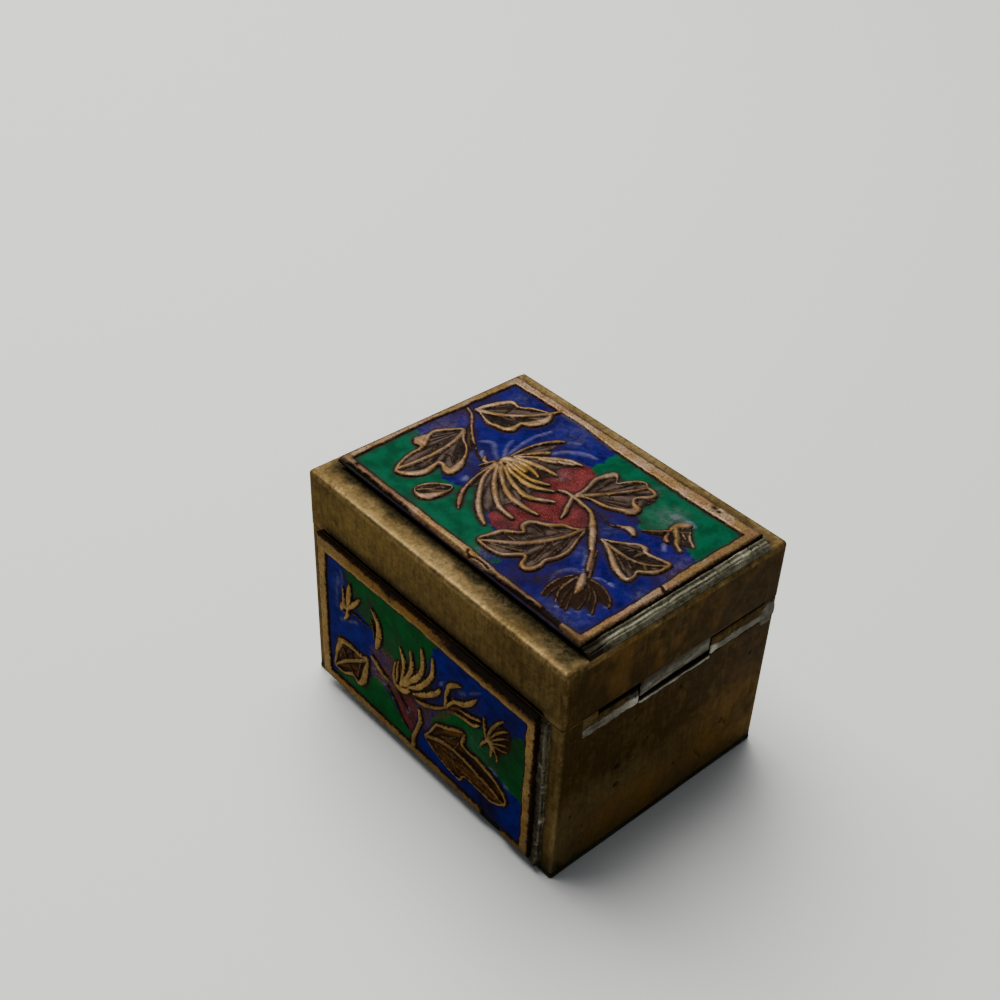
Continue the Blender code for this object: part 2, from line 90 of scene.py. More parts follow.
def lay_floor():
    reach = 3.0
    mesh = bpy.data.meshes.new("table_top")
    corners = [(-reach, -reach, 0), (reach, -reach, 0), (reach, reach, 0), (-reach, reach, 0)]
    mesh.from_pydata(corners, [], [(0, 1, 2, 3)])
    floor = bpy.data.objects.new("table_top", mesh)
    bpy.context.scene.collection.objects.link(floor)
    paint = bpy.data.materials.new("table_top")
    paint.use_nodes = True
    shader = paint.node_tree.nodes["Principled BSDF"]
    shader.inputs["Base Color"].default_value = (0.62, 0.63, 0.62, 1)
    shader.inputs["Roughness"].default_value = 0.6
    mesh.materials.append(paint)


def soft_box(name, place, size, power, colour):
    """A square soft light that faces the box."""
    lamp = bpy.data.lights.new(name, "AREA")
    lamp.shape = "SQUARE"
    lamp.size = size
    lamp.energy = power
    lamp.color = colour
    holder = bpy.data.objects.new(name, lamp)
    bpy.context.scene.collection.objects.link(holder)
    holder.location = place
    aim = Vector((0, 0, 0.02)) - Vector(place)
    holder.rotation_euler = aim.to_track_quat("-Z", "Y").to_euler()


def light_room():
    world = bpy.data.worlds.new("room")
    bpy.context.scene.world = world
    world.use_nodes = True
    sky = world.node_tree.nodes["Background"]
    sky.inputs["Color"].default_value = (0.75, 0.8, 0.85, 1)
    sky.inputs["Strength"].default_value = 0.25
    soft_box("window", (-0.48, 0.12, 0.95), 0.95, 27.0, (1.0, 0.98, 0.95))


stand_camera()
lay_floor()
light_room()


# Base plate.
# A flat sheet of brass soldered under the walls. Its edge is dark and dented, and green
# verdigris has grown in the seam.
def in_mm(corners):
    """The lowest and highest corners of a CAD node, in millimetres."""
    low, high = corners
    return np.array(low) / MM, np.array(high) / MM


def mottle(u, v, size, seed):
    """Soft noise between -1 and 1, in patches of about the given size."""
    cells = 64
    table = np.random.default_rng(seed).uniform(-1, 1, (cells, cells))
    a = u / size
    b = v / size
    i = np.floor(a).astype(int)
    j = np.floor(b).astype(int)
    s = (a - i) ** 2 * (3 - 2 * (a - i))
    t = (b - j) ** 2 * (3 - 2 * (b - j))
    low = table[i % cells, j % cells] * (1 - s) + table[(i + 1) % cells, j % cells] * s
    high = table[i % cells, (j + 1) % cells] * (1 - s) + table[(i + 1) % cells, (j + 1) % cells] * s
    return low * (1 - t) + high * t


def layers(u, v, size, seed):
    """Three layers of soft noise, each one half as wide and half as strong as the last."""
    total = 0.0
    for layer in range(3):
        total = total + mottle(u, v, size / 2 ** layer, seed + layer) / 2 ** layer
    highest = 1 + 1 / 2 + 1 / 4
    return total / highest


def ramp(value, low, high):
    """A smooth step from 0 at low to 1 at high."""
    t = np.clip((value - low) / (high - low), 0, 1)
    return t * t * (3 - 2 * t)


def spot(u, v, place, radius):
    """A soft round spot, 1 in its middle."""
    return np.exp(-((u - place[0]) ** 2 + (v - place[1]) ** 2) / radius ** 2)


def dabs(u, v, places, ground=0.0):
    """Soft spots laid over a ground. Each is a strength, where it lies, and a radius."""
    for strength, across, up, radius in places:
        ground = ground + strength * spot(u, v, (across, up), radius)
    return ground


class Finish:
    """A material made of patterns laid over each other. Their sizes are in millimetres."""

    def __init__(self, name):
        self.material = bpy.data.materials.new(name)
        self.material.use_nodes = True
        self.nodes = self.material.node_tree.nodes
        self.links = self.material.node_tree.links
        self.shader = self.nodes["Principled BSDF"]
        place = self.add("ShaderNodeTexCoord").outputs["Object"]
        self.place = self.stretched((1 / MM, 1 / MM, 1 / MM), place)

    def add(self, kind, **settings):
        new = self.nodes.new(kind)
        for key, value in settings.items():
            setattr(new, key, value)
        return new

    def feed(self, socket, value):
        if isinstance(value, bpy.types.NodeSocket):
            self.links.new(value, socket)
        else:
            socket.default_value = value

    def stretched(self, factors, place=None):
        scale = self.add("ShaderNodeVectorMath", operation="MULTIPLY")
        self.feed(scale.inputs[0], place or self.place)
        scale.inputs[1].default_value = factors
        return scale.outputs[0]

    def noise(self, size, detail=3.0, rough=0.5, place=None):
        cloud = self.add("ShaderNodeTexNoise")
        self.feed(cloud.inputs["Vector"], place or self.place)
        cloud.inputs["Scale"].default_value = 1 / size
        cloud.inputs["Detail"].default_value = detail
        cloud.inputs["Roughness"].default_value = rough
        return cloud.outputs[0]

    def mask(self, name):
        return self.add("ShaderNodeAttribute", attribute_name=name).outputs["Fac"]

    def spread(self, value, low, high, to_low=0.0, to_high=1.0):
        step = self.add("ShaderNodeMapRange", interpolation_type="SMOOTHSTEP")
        self.feed(step.inputs["Value"], value)
        step.inputs["From Min"].default_value = low
        step.inputs["From Max"].default_value = high
        step.inputs["To Min"].default_value = to_low
        step.inputs["To Max"].default_value = to_high
        return step.outputs[0]

    def maths(self, operation, first, second):
        result = self.add("ShaderNodeMath", operation=operation)
        self.feed(result.inputs[0], first)
        self.feed(result.inputs[1], second)
        return result.outputs[0]

    def blend(self, below, above, share):
        mix = self.add("ShaderNodeMix", data_type="RGBA")
        self.feed(mix.inputs[0], share)
        for socket, colour in ((mix.inputs[6], below), (mix.inputs[7], above)):
            self.feed(socket, (*colour, 1.0) if isinstance(colour, tuple) else colour)
        return mix.outputs[2]

    def bump(self, height, depth, under=None):
        relief = self.add("ShaderNodeBump")
        relief.inputs["Distance"].default_value = depth * MM
        relief.inputs["Strength"].default_value = 1.0
        self.feed(relief.inputs["Height"], height)
        if under:
            self.feed(relief.inputs["Normal"], under)
        return relief.outputs[0]

    def done(self, colour, roughness, metallic, normal, gloss=0.5, edge_tint=None):
        self.shader.inputs["Specular IOR Level"].default_value = gloss
        if edge_tint:
            self.shader.inputs["Specular Tint"].default_value = (*edge_tint, 1.0)
        self.feed(self.shader.inputs["Base Color"], colour)
        self.feed(self.shader.inputs["Roughness"], roughness)
        self.feed(self.shader.inputs["Metallic"], metallic)
        self.feed(self.shader.inputs["Normal"], normal)
        return self.material


def aged_brass(name):
    """Tarnished brass. Masks on the mesh say where it is dark, rubbed, stained or rusty, and where shade or
    light is painted on.
    """
    paint = Finish(name)
    cloud = paint.noise(9.0, 4.0)
    patch = paint.noise(1.6, 4.0, 0.6)
    fleck = paint.noise(0.7, 3.0, 0.7)
    speck = paint.noise(0.28, 2.0, 0.6)
    brushed = paint.noise(0.3, 3.0, 0.6, paint.stretched((1.0, 0.18, 0.18)))
    runs = paint.noise(0.7, 3.0, 0.6, paint.stretched((1.0, 1.0, 0.1)))
    tarnish = paint.maths("ADD", paint.mask("tarnish"), paint.spread(cloud, 0.36, 0.64, -0.14, 0.14))
    tarnish = paint.maths("ADD", tarnish, paint.spread(patch, 0.4, 0.6, -0.07, 0.07))
    tarnish = paint.maths("ADD", tarnish, paint.spread(runs, 0.4, 0.6, -0.09, 0.09))
    colour = paint.blend((0.122, 0.086, 0.041), (0.027, 0.0145, 0.0012), tarnish)
    colour = paint.blend(colour, (0.016, 0.0095, 0.0018), paint.spread(fleck, 0.52, 0.64, 0.0, 0.4))
    colour = paint.blend(colour, (0.13, 0.092, 0.034), paint.spread(fleck, 0.48, 0.38, 0.0, 0.08))
    colour = paint.blend(colour, (0.022, 0.013, 0.004), paint.spread(speck, 0.56, 0.68, 0.0, 0.4))
    # Stains, and on the lid the panel's shadow painted on along its edge.
    stain_and_shade = paint.maths("MULTIPLY", paint.mask("stain_and_shade"), paint.spread(fleck, 0.4, 0.6, 1.1, 0.55))
    colour = paint.blend(colour, (0.012, 0.011, 0.005), stain_and_shade)
    # Rust, and warm light painted low on the hinge end.
    colour = paint.blend(colour, (0.205, 0.094, 0.018), paint.mask("rust_and_painted_light"))
    rubbed = paint.maths("MULTIPLY", paint.mask("wear_and_glint"), paint.spread(patch, 0.36, 0.56, 0.35, 1.0))
    rubbed = paint.maths("MULTIPLY", rubbed, paint.spread(brushed, 0.4, 0.6, 0.55, 1.0))
    rubbed = paint.maths("MULTIPLY", rubbed, paint.spread(fleck, 0.46, 0.58, 1.0, 0.6))
    colour = paint.blend(colour, (0.225, 0.152, 0.058), rubbed)
    colour = paint.blend(colour, (0.016, 0.034, 0.024), paint.mask("green"))
    roughness = paint.maths("ADD", paint.spread(patch, 0.3, 0.7, 0.42, 0.56),
                            paint.maths("MULTIPLY", stain_and_shade, 0.2))
    metallic = paint.maths("SUBTRACT", 0.9, paint.maths("MULTIPLY", tarnish, 0.65))
    metallic = paint.maths("SUBTRACT", metallic, paint.maths("MULTIPLY", stain_and_shade, 0.4))
    metallic = paint.maths("MAXIMUM", paint.maths("SUBTRACT", metallic, paint.mask("green")), rubbed)
    grain = paint.bump(fleck, 0.014)
    grain = paint.bump(brushed, 0.008, grain)
    return paint.done(colour, roughness, metallic, grain, gloss=0.02, edge_tint=(0.7, 0.55, 0.26))


def new_piece(name, points, faces, material, body, slot):
    """A mesh piece from points in millimetres, riding on a body."""
    mesh = bpy.data.meshes.new(name)
    mesh.from_pydata((np.asarray(points) * MM).tolist(), [], faces)
    mesh.materials.append(material)
    piece = bpy.data.objects.new(name, mesh)
    bpy.context.scene.collection.objects.link(piece)
    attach(piece, body)
    return piece


def give_mask(piece, name, values):
    layer = piece.data.attributes.new(name, "FLOAT", "POINT")
    layer.data.foreach_set("value", np.clip(values, 0, 1).astype(np.float32).ravel())


def spaced(low, high, pitch, extra=()):
    """Places from low to high at about the pitch, with the extra ones between them."""
    count = max(1, round((high - low) / pitch))
    return np.array(sorted([*np.linspace(low, high, count + 1), *extra]))


class Outline:
    """A rounded rectangle round the box. Every turn of it has the same points."""

    CORNER_STEPS = 5
    # Places nearer the middle than this don't move from turn to turn, so a notch keeps upright sides.
    KEPT = 20.6

    def __init__(self, half_x, half_y, radius, pitch, end_pitch, notches=()):
        self.half = (half_x, half_y)
        self.radius = radius
        self.x_places = spaced(-(half_x - radius), half_x - radius, pitch)
        sliver = 0.01
        cuts = [edge + side for edge in notches for side in (-sliver / 2, sliver / 2)]
        self.end_places = spaced(-(half_y - radius), half_y - radius, end_pitch, cuts)
        self.y_places = spaced(-(half_y - radius), half_y - radius, pitch)

    def fitted(self, places, old, new):
        """Places moved to a shorter side, with the middle ones kept."""
        kept = min(self.KEPT, new - 0.1)
        glint_before_notch = np.abs(places) > kept
        squeezed = kept + (np.abs(places) - kept) * (new - kept) / (old - kept)
        return np.where(glint_before_notch, np.sign(places) * squeezed, places)

    def turn(self, inset):
        """The points of one turn, the inset in from the outside, anticlockwise from above."""
        half_x, half_y = self.half[0] - inset, self.half[1] - inset
        radius = max(self.radius - inset, 0.15)
        straight_x, straight_y = half_x - radius, half_y - radius
        x = self.fitted(self.x_places, self.half[0] - self.radius, straight_x)
        end = self.fitted(self.end_places, self.half[1] - self.radius, straight_y)
        y = self.fitted(self.y_places, self.half[1] - self.radius, straight_y)
        sides = [
            np.column_stack([np.full(len(end), half_x), end]),
            np.column_stack([x[::-1], np.full(len(x), half_y)]),
            np.column_stack([np.full(len(y), -half_x), y[::-1]]),
            np.column_stack([x, np.full(len(x), -half_y)])]
        centres = [(straight_x, straight_y), (-straight_x, straight_y),
                   (-straight_x, -straight_y), (straight_x, -straight_y)]
        parts = []
        for number, (side, centre) in enumerate(zip(sides, centres)):
            parts.append(side)
            angles = np.linspace(0, math.pi / 2, self.CORNER_STEPS + 1)[1:-1] + number * math.pi / 2
            parts.append(np.column_stack([
                centre[0] + radius * np.cos(angles), centre[1] + radius * np.sin(angles)]))
        return np.concatenate(parts)


def loft(rows, closed=False):
    """Faces between rows of equally many points, with a flat face at each open end."""
    count = len(rows[0])
    last = len(rows)
    faces = []
    for row in range(last if closed else last - 1):
        here = row * count
        above = (row + 1) % last * count
        for k in range(count):
            after = (k + 1) % count
            faces.append((here + k, here + after, above + after, above + k))
    if not closed:
        faces.append(tuple(reversed(range(count))))
        faces.append(tuple(range((last - 1) * count, last * count)))
    return np.concatenate(rows), faces


def level_row(outline, inset, height):
    """A turn of the outline at a height, which may differ from point to point."""
    turn = outline.turn(inset)
    return np.column_stack([turn, np.broadcast_to(height, len(turn))])


def smooth_faces(piece):
    sharp_from = 38.0
    piece.data.shade_smooth()
    piece.data.set_sharp_from_angle(angle=math.radians(sharp_from))


base_high = in_mm(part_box("base_plate"))[1]
base_half = base_high[:2]
base_top = base_high[2]
base_outline = Outline(*base_half, 0.5, 0.5, 0.5)


def make_base():
    rounding = 0.2
    rows = []
    for inset, height in ((0.6, 0.0), (rounding, 0.0), (0.0, rounding), (0.0, base_top / 2),
                          (0.0, base_top - rounding), (rounding, base_top), (3.0, base_top)):
        row = level_row(base_outline, inset, height)
        if 0.0 < height < base_top:
            around = np.arange(len(row)) * 0.5
            dent = 0.06 + 0.05 * layers(around, row[:, 2], 5.0, 11)
            row[:, :2] -= np.sign(row[:, :2]) * (np.abs(row[:, :2]) > base_half - 0.6) * dent[:, None]
        rows.append(row)
    points, faces = loft(rows)
    plate = new_piece("base_sheet", points, faces, aged_brass("base_brass"), "box", "brass")
    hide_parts("base_plate")
    around = points[:, 0] + points[:, 1]
    give_mask(plate, "tarnish", 0.75 + 0.2 * layers(around, points[:, 2], 6.0, 12))
    give_mask(plate, "wear_and_glint", 0.3 * ramp(points[:, 2], 0.1, 0.3) * ramp(-points[:, 2], -0.65, -0.35))
    give_mask(plate, "stain_and_shade", 0.8 + 0.5 * layers(around, points[:, 2], 3.0, 13))
    at_rim = np.max(np.abs(points[:, :2]) - base_half, axis=1) > -1.0
    seam = at_rim * ramp(points[:, 2], 0.5, 0.9)
    give_mask(plate, "green", seam * ramp(layers(around, points[:, 2], 4.0, 14), 0.0, 0.4))
    smooth_faces(plate)


make_base()


# Box walls.
# Folded sheet brass, soldered at the corners and filed. It has tarnished to an olive
# brown, darker at the hinge end, with a few pits and a scratch, and its edges are rubbed.
wall_low, wall_high = in_mm(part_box("box_walls"))
wall_thickness = 1.2
front_tube_low, front_tube_high = in_mm(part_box("hinge_knuckle_front"))
middle_tube_low, middle_tube_high = in_mm(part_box("hinge_knuckle_middle"))
back_tube_low, back_tube_high = in_mm(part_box("hinge_knuckle_back"))
notch_front = front_tube_low[1] - 0.4
notch_back = back_tube_high[1] + 0.4
notch_floor = front_tube_low[2] - 0.2
# Pits as where they lie along and up the hinge end, their radius and their depth.
PITS = [
    (-10.5, 16.5, 0.5, 0.25), (-10.2, 12.2, 0.5, 0.24), (-4.0, 18.5, 0.3, 0.15), (2.1, 25.4, 0.3, 0.14),
    (14.0, 10.0, 0.45, 0.22), (15.0, 9.2, 0.3, 0.15), (3.2, 7.5, 0.4, 0.2), (18.5, 22.5, 0.25, 0.12),
    (-17.0, 8.0, 0.25, 0.1), (-19.6, 12.0, 0.25, 0.1), (-7.4, 24.6, 0.3, 0.1)]
# Scratches as two ends, a width and a depth.
SCRATCHES = [((8.2, 7.0), (10.2, 4.0), 0.32, 0.16), ((12.0, 5.0), (15.6, 7.2), 0.14, 0.07),
             ((15.6, 7.2), (19.4, 8.7), 0.12, 0.06), ((14.0, 25.2), (18.2, 25.7), 0.1, 0.05),
             ((-14.0, 23.4), (-9.0, 25.6), 0.08, 0.03)]


def to_line(u, v, start, end):
    """Distance from points to a straight line between two places."""
    run = (end[0] - start[0], end[1] - start[1])
    share = ((u - start[0]) * run[0] + (v - start[1]) * run[1]) / (run[0] ** 2 + run[1] ** 2)
    share = np.clip(share, 0, 1)
    return np.hypot(u - start[0] - share * run[0], v - start[1] - share * run[1])


def sunk_marks(y, z):
    """Depth of the pits and scratches of the hinge end."""
    depth = np.zeros(len(y))
    for pit_y, pit_z, radius, deep in PITS:
        wide = 1.25 * radius * (1 + 0.3 * mottle(y, z, 0.4, 21))
        depth += deep * ramp(np.hypot(y - pit_y, z - pit_z) / wide, 1.15, 0.4)
    for start, end, width, deep in SCRATCHES:
        depth += deep * ramp(to_line(y, z, start, end), width, 0.0)
    return depth


def around_box(points, half):
    """A length that runs round the box, for patterns on its sides."""
    x, y = points[:, 0], points[:, 1]
    on_end = np.abs(np.abs(x) - half[0]) < np.abs(np.abs(y) - half[1])
    return np.where(on_end, y + np.sign(x) * 80.0, x + np.sign(y) * 200.0)


def side_tarnish(points, half):
    """How dark each side has gone: darkest at the hinge end, least at the front, and lifted low on the
    hinge end, which is painted light against the shade near the table.
    """
    x, y, z = points.T
    hinge_end = ramp(x, half[0] - 1.2, half[0] - 0.3)
    front = ramp(-y, half[1] - 1.2, half[1] - 0.3)
    along = x + 2.0 * layers(x, z, 8.0, 27)
    rest = np.interp(along, [-30, -24, -17, -3, 7, 18, 28], [0.6, 0.56, 0.34, 0.26, 0.42, 0.52, 0.66])
    painted_light_low = 0.08 * ramp(z, 30.0, 20.0) + 0.42 * ramp(z, 20.0, 12.0) + 0.4 * ramp(z, 11.0, 4.0)
    painted_light_low = painted_light_low * (1 - 0.45 * ramp(y, 6.0, 14.0)) - 0.1 * ramp(z, 32.0, 33.0) * ramp(y, -12.0, 0.0)
    dark = 0.52 + 0.5 * hinge_end - painted_light_low * hinge_end
    return dark + (rest - 0.52) * front * (1 - hinge_end)


def make_walls():
    outline = Outline(wall_high[0], wall_high[1], 0.4, 0.6, 0.24, (notch_front, notch_back))
    shape = outline.turn(0.0)
    at_end = shape[:, 0] > wall_high[0] - 0.01
    inside_notch = at_end & (shape[:, 1] > notch_front) & (shape[:, 1] < notch_back)
    top = np.where(inside_notch, notch_floor, wall_high[2])
    bottom = wall_low[2]
    rounding = 0.15
    outer_rows, inner_rows = 118, 24
    rows = [level_row(outline, 0.0, bottom + share * (top - rounding - bottom))
            for share in np.linspace(0, 1, outer_rows)]
    rows += [level_row(outline, rounding, top), level_row(outline, wall_thickness - rounding, top)]
    rows += [level_row(outline, wall_thickness, bottom + share * (top - rounding - bottom))
             for share in np.linspace(1, 0, inner_rows)]
    points, faces = loft(rows, closed=True)
    outside = np.arange(len(points)) < outer_rows * len(shape)
    x, y, z = points.T
    turned = around_box(points, wall_high[:2])
    on_hinge_end = outside & (np.abs(x - wall_high[0]) < 0.01)
    dent = np.where(outside, 0.03 + 0.02 * layers(turned, z, 7.0, 22), 0.0)
    marks = np.where(on_hinge_end, sunk_marks(y, z), 0.0)
    near_x = np.abs(x) > wall_high[0] - 0.05
    near_y = np.abs(y) > wall_high[1] - 0.05
    points[:, 0] -= np.sign(x) * near_x * (dent + marks)
    points[:, 1] -= np.sign(y) * near_y * dent
    walls = new_piece("wall_sheet", points, faces, aged_brass("wall_brass"), "box", "brass")
    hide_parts("box_walls")
    corner = np.minimum(wall_high[0] - np.abs(x), 9) + np.minimum(wall_high[1] - np.abs(y), 9)
    wear = 0.8 + 0.5 * layers(z, turned, 4.0, 23)
    rim = 0.6 * ramp(z, wall_high[2] - 0.5, wall_high[2] - 0.1)
    give_mask(walls, "wear_and_glint", outside * np.maximum(0.55 * ramp(corner, 0.9, 0.2), rim) * wear)
    by_corner = 0.16 * ramp(x, wall_high[0] - 3.0, wall_high[0] - 1.5) * (y < -wall_high[1] + 0.3)
    dark_inside = np.where(outside, 0.0, 0.25)
    give_mask(walls, "tarnish", side_tarnish(points, wall_high[:2]) - by_corner + dark_inside)
    grime = 0.9 * ramp(z + 0.5 * layers(turned, z, 2.0, 28), bottom + 1.2, bottom)
    foot = ramp(corner + z * 0.8 + 2.0 * layers(turned, z, 2.0, 30), 5.5, 3.0) * (x > 0) * (y < 0)
    crust = np.maximum(grime * (0.7 + 0.5 * layers(turned, z, 2.5, 24)), 0.9 * foot)
    give_mask(walls, "stain_and_shade", outside * (crust + 12.0 * marks))
    # Painted light: the lower hinge end is lifted to a warm brown, with two broad rust patches over it.
    painted_glow_low = ramp(z, 13.0, 6.0) * ramp(y, -19.0, -12.0) * ramp(y, 6.0, -2.0)
    patch = 0.9 * painted_glow_low + 0.6 * spot(y, z, (12.0, 7.0), 6.0) + 0.35 * spot(y, z, (17.0, 16.0), 5.0)
    give_mask(walls, "rust_and_painted_light", on_hinge_end * patch * (0.45 + 0.35 * layers(y, z, 3.0, 25)))
    verdigris = ramp(z + 0.4 * layers(turned, z, 2.0, 26), bottom + 1.0, bottom + 0.1)
    give_mask(walls, "green", outside * 0.8 * verdigris * (0.55 + 0.45 * layers(turned, z, 3.0, 29)))
    smooth_faces(walls)


make_walls()


# Front and back panels.
# Cast brass plates with a flower spray standing up from a sunk ground. The ground is
# filled with blue, green and red enamel, and handling has rubbed the raised metal bright.
ALONG, DEEP, UP = np.eye(3)
# Heights over a panel's back: the sunk ground, the enamel poured on it, the leaves' hollow
# fields, the ridges and the border.
GROUND = 0.35
POUR = 0.55
FIELD = 0.62
CREST = 0.93
BORDER = 0.9


def smooth_path(points, steps, closed=False):
    """Points of a Catmull-Rom curve through the given ones."""
    points = np.array(points, dtype=float)
    count = len(points)
    path = []
    for span in range(count if closed else count - 1):
        places = np.arange(span - 1, span + 3)
        a, b, c, d = points[places % count if closed else np.clip(places, 0, count - 1)]
        for t in np.arange(steps) / steps:
            path.append(0.5 * (2 * b + (c - a) * t + (2 * a - 5 * b + 4 * c - d) * t * t
                               + (3 * b - a - 3 * c + d) * t ** 3))
    if not closed:
        path.append(points[-1])
    return np.array(path)


def to_path(u, v, path, closed=False):
    """Distance from points to a path."""
    ends = np.roll(path, -1, axis=0) if closed else path[1:]
    nearest = np.full(u.shape, np.inf)
    for start, end in zip(path, ends):
        nearest = np.minimum(nearest, to_line(u, v, start, end))
    return nearest


def across_stroke(u, v, path, closed=False):
    """How far out in a stroke points lie, 0 on its line and 1 at its edge, and its width there."""
    ends = np.roll(path, -1, axis=0) if closed else path[1:]
    out = np.full(u.shape, np.inf)
    wide = np.ones(u.shape)
    for start, end in zip(path, ends):
        run = end[:2] - start[:2]
        share = ((u - start[0]) * run[0] + (v - start[1]) * run[1]) / max(run @ run, 1e-9)
        share = np.clip(share, 0, 1)
        width = np.maximum(start[2] + share * (end[2] - start[2]), 0.15)
        ratio = np.hypot(u - start[0] - share * run[0], v - start[1] - share * run[1]) / (width / 2)
        wide = np.where(ratio < out, width, wide)
        out = np.minimum(out, ratio)
    return out, wide


def within(u, v, path):
    """Whether points lie inside a closed path."""
    inside = np.zeros(u.shape, dtype=bool)
    for (start_u, start_v), (end_u, end_v) in zip(path, np.roll(path, -1, axis=0)):
        if start_v == end_v:
            continue
        crosses = (start_v > v) != (end_v > v)
        crossing = start_u + (v - start_v) * (end_u - start_u) / (end_v - start_v)
        inside ^= crosses & (u < crossing)
    return inside


def zone(u, v, outline, soft, seed):
    """1 inside an outline and 0 outside it, across a ragged soft edge."""
    path = smooth_path(outline, 5, closed=True)
    distance = to_path(u, v, path, closed=True)
    depth = np.where(within(u, v, path), distance, -distance)
    return ramp(depth + 0.8 * soft * layers(u, v, 1.6, seed), -soft, soft)


def softened(values, times):
    """A blurred copy of a grid of values."""
    for _ in range(times):
        wide = np.pad(values, 1, mode="edge")
        values = (wide[:-2, 1:-1] + wide[2:, 1:-1] + wide[1:-1, :-2] + wide[1:-1, 2:] + 4 * values) / 8
    return values


class Casting:
    """A relief plate, as heights over its back on a fine grid, with masks for its finish."""

    def __init__(self, size, border, pitch, seed, thin_drop=0.12):
        self.size = size
        self.thin_drop = thin_drop
        self.seed = seed
        self.u, self.v = np.meshgrid(
            np.linspace(0, size[0], round(size[0] / pitch) + 1),
            np.linspace(0, size[1], round(size[1] / pitch) + 1))
        self.height = GROUND + 0.02 * layers(self.u, self.v, 1.5, seed)
        self.gilt = np.zeros(self.u.shape)
        self.copper = np.zeros(self.u.shape)
        self.leafy = np.zeros(self.u.shape)
        self.lines = np.zeros(self.u.shape)
        self.swell = np.zeros(self.u.shape)
        self.film = np.zeros(self.u.shape)
        self.drop = np.zeros(self.u.shape)
        self.frame(border)

    def frame(self, border):
        """The flat border, with a ragged inner edge and a worn outer one."""
        u, v = self.u, self.v
        left, bottom, right, top = (np.array(side, dtype=float).T for side in border)
        self.inward = np.minimum.reduce([
            u - np.interp(v, *left), v - np.interp(u, *bottom),
            self.size[0] - np.interp(v, *right) - u, self.size[1] - np.interp(u, *top) - v])
        self.outward = np.minimum.reduce([u, v, self.size[0] - u, self.size[1] - v])
        ragged = self.inward + 0.2 * layers(u, v, 1.6, self.seed + 1)
        face = BORDER - 0.03 - 0.035 * layers(u, v, 4.0, self.seed + 2)
        face -= 0.22 * ramp(self.outward + 0.15 * layers(u, v, 1.8, self.seed + 3), 0.5, 0.0)
        shape = GROUND + (face - GROUND) * ramp(ragged, 0.16, -0.24)
        copper = 0.6 * ramp(layers(u, v, 3.4, self.seed + 4), 0.05, 0.5)
        self.raise_to(np.s_[:], shape, 0.85, copper)

    def around(self, path, reach):
        """The part of the grid near a path."""
        low = path.min(axis=0) - reach
        high = path.max(axis=0) + reach
        columns = np.searchsorted(self.u[0], [low[0], high[0]])
        rows = np.searchsorted(self.v[:, 0], [low[1], high[1]])
        return np.s_[rows[0]:rows[1], columns[0]:columns[1]]

    def raise_to(self, window, shape, gilt, copper=0.0, leafy=0.0, lines=0.0):
        """Lift the metal to a shape wherever the shape is higher."""
        higher = shape > self.height[window]
        for layer, values in ((self.height, shape), (self.gilt, gilt), (self.copper, copper),
                              (self.leafy, leafy), (self.lines, lines)):
            layer[window] = np.where(higher, values, layer[window])

    def stroke(self, points, closed=False):
        """Where a stroke of (u, v, width) points lies: its part of the grid, how far out, how wide."""
        path = smooth_path(points, 5, closed)
        window = self.around(path[:, :2], path[:, 2].max())
        u, v = self.u[window], self.v[window]
        out, wide = across_stroke(u, v, path, closed)
        ragged = 0.2 * layers(u, v, 1.8, self.seed + 5) + 0.06 * mottle(u, v, 0.42, self.seed + 11)
        return window, out * (1 + ragged), wide

    def ridge(self, points, gilt=0.85, copper=0.15, crest=CREST, closed=False):
        """A rounded ridge; where it is thin it is low."""
        window, out, wide = self.stroke(points, closed)
        u, v = self.u[window], self.v[window]
        top = crest - self.thin_drop * ramp(wide, 0.8, 0.3) + 0.05 * layers(u, v, 1.3, self.seed + 6)
        top = top - 0.05 * ramp(mottle(u, v, 0.7, self.seed + 10), 0.1, 0.8)
        shape = GROUND + (top - GROUND) * np.clip(1 - (0.84 * out) ** 2.6, 0, 1) ** 0.6
        brightened = gilt * (0.85 + 0.3 * layers(u, v, 1.0, self.seed + 7))
        self.raise_to(window, shape, brightened, copper)

    def ridges(self, strokes, **finish):
        """Several ridges with the same finish."""
        for points in strokes:
            self.ridge(points, **finish)

    def sunk(self, points, film):
        """A low ridge that the enamel runs over and shows through as a pale streak."""
        window, out = self.stroke(points)[:2]
        shape = np.clip(1 - out ** 2, 0, 1) ** 1.3
        rise = 0.1
        self.swell[window] = np.maximum(self.swell[window], rise * np.sqrt(shape))
        self.film[window] = np.maximum(self.film[window], film * shape)

    def field(self, outline, hub, gilt=0.12, low=FIELD, copper=0.0, fine=1.0, leafy=1.0):
        """A sunk field with fine lines that spread from a hub."""
        path = smooth_path(outline, 5, closed=True)[:, :2]
        window = self.around(path, 0.3)
        u, v = self.u[window], self.v[window]
        turn = np.arctan2(v - hub[1], u - hub[0])
        reach = np.hypot(v - hub[1], u - hub[0])
        lines = mottle(turn * 14.0, reach * 0.2, 1.0, self.seed + 8)
        lines = 0.85 * lines + 0.4 * layers(u, v, 0.8, self.seed + 9)
        shape = np.where(within(u, v, path), low + 0.1 * fine * lines, GROUND)
        self.raise_to(window, shape, gilt, copper, leafy, 0.45 + 0.75 * fine * lines)

    def leaf(self, rim, midrib, veins=(), gilt=0.85, copper=0.15, rim_share=1.0):
        """A lobed leaf: a hollow field inside a raised rim, with a midrib and side veins."""
        self.field(rim, midrib[0])
        for vein in veins:
            self.ridge(vein, gilt=0.4 * gilt, copper=copper, crest=CREST - 0.06)
        self.ridge([(u, v, rim_share * wide) for u, v, wide in rim], gilt, copper, closed=True)
        self.ridge(midrib, 0.8 * gilt, copper)


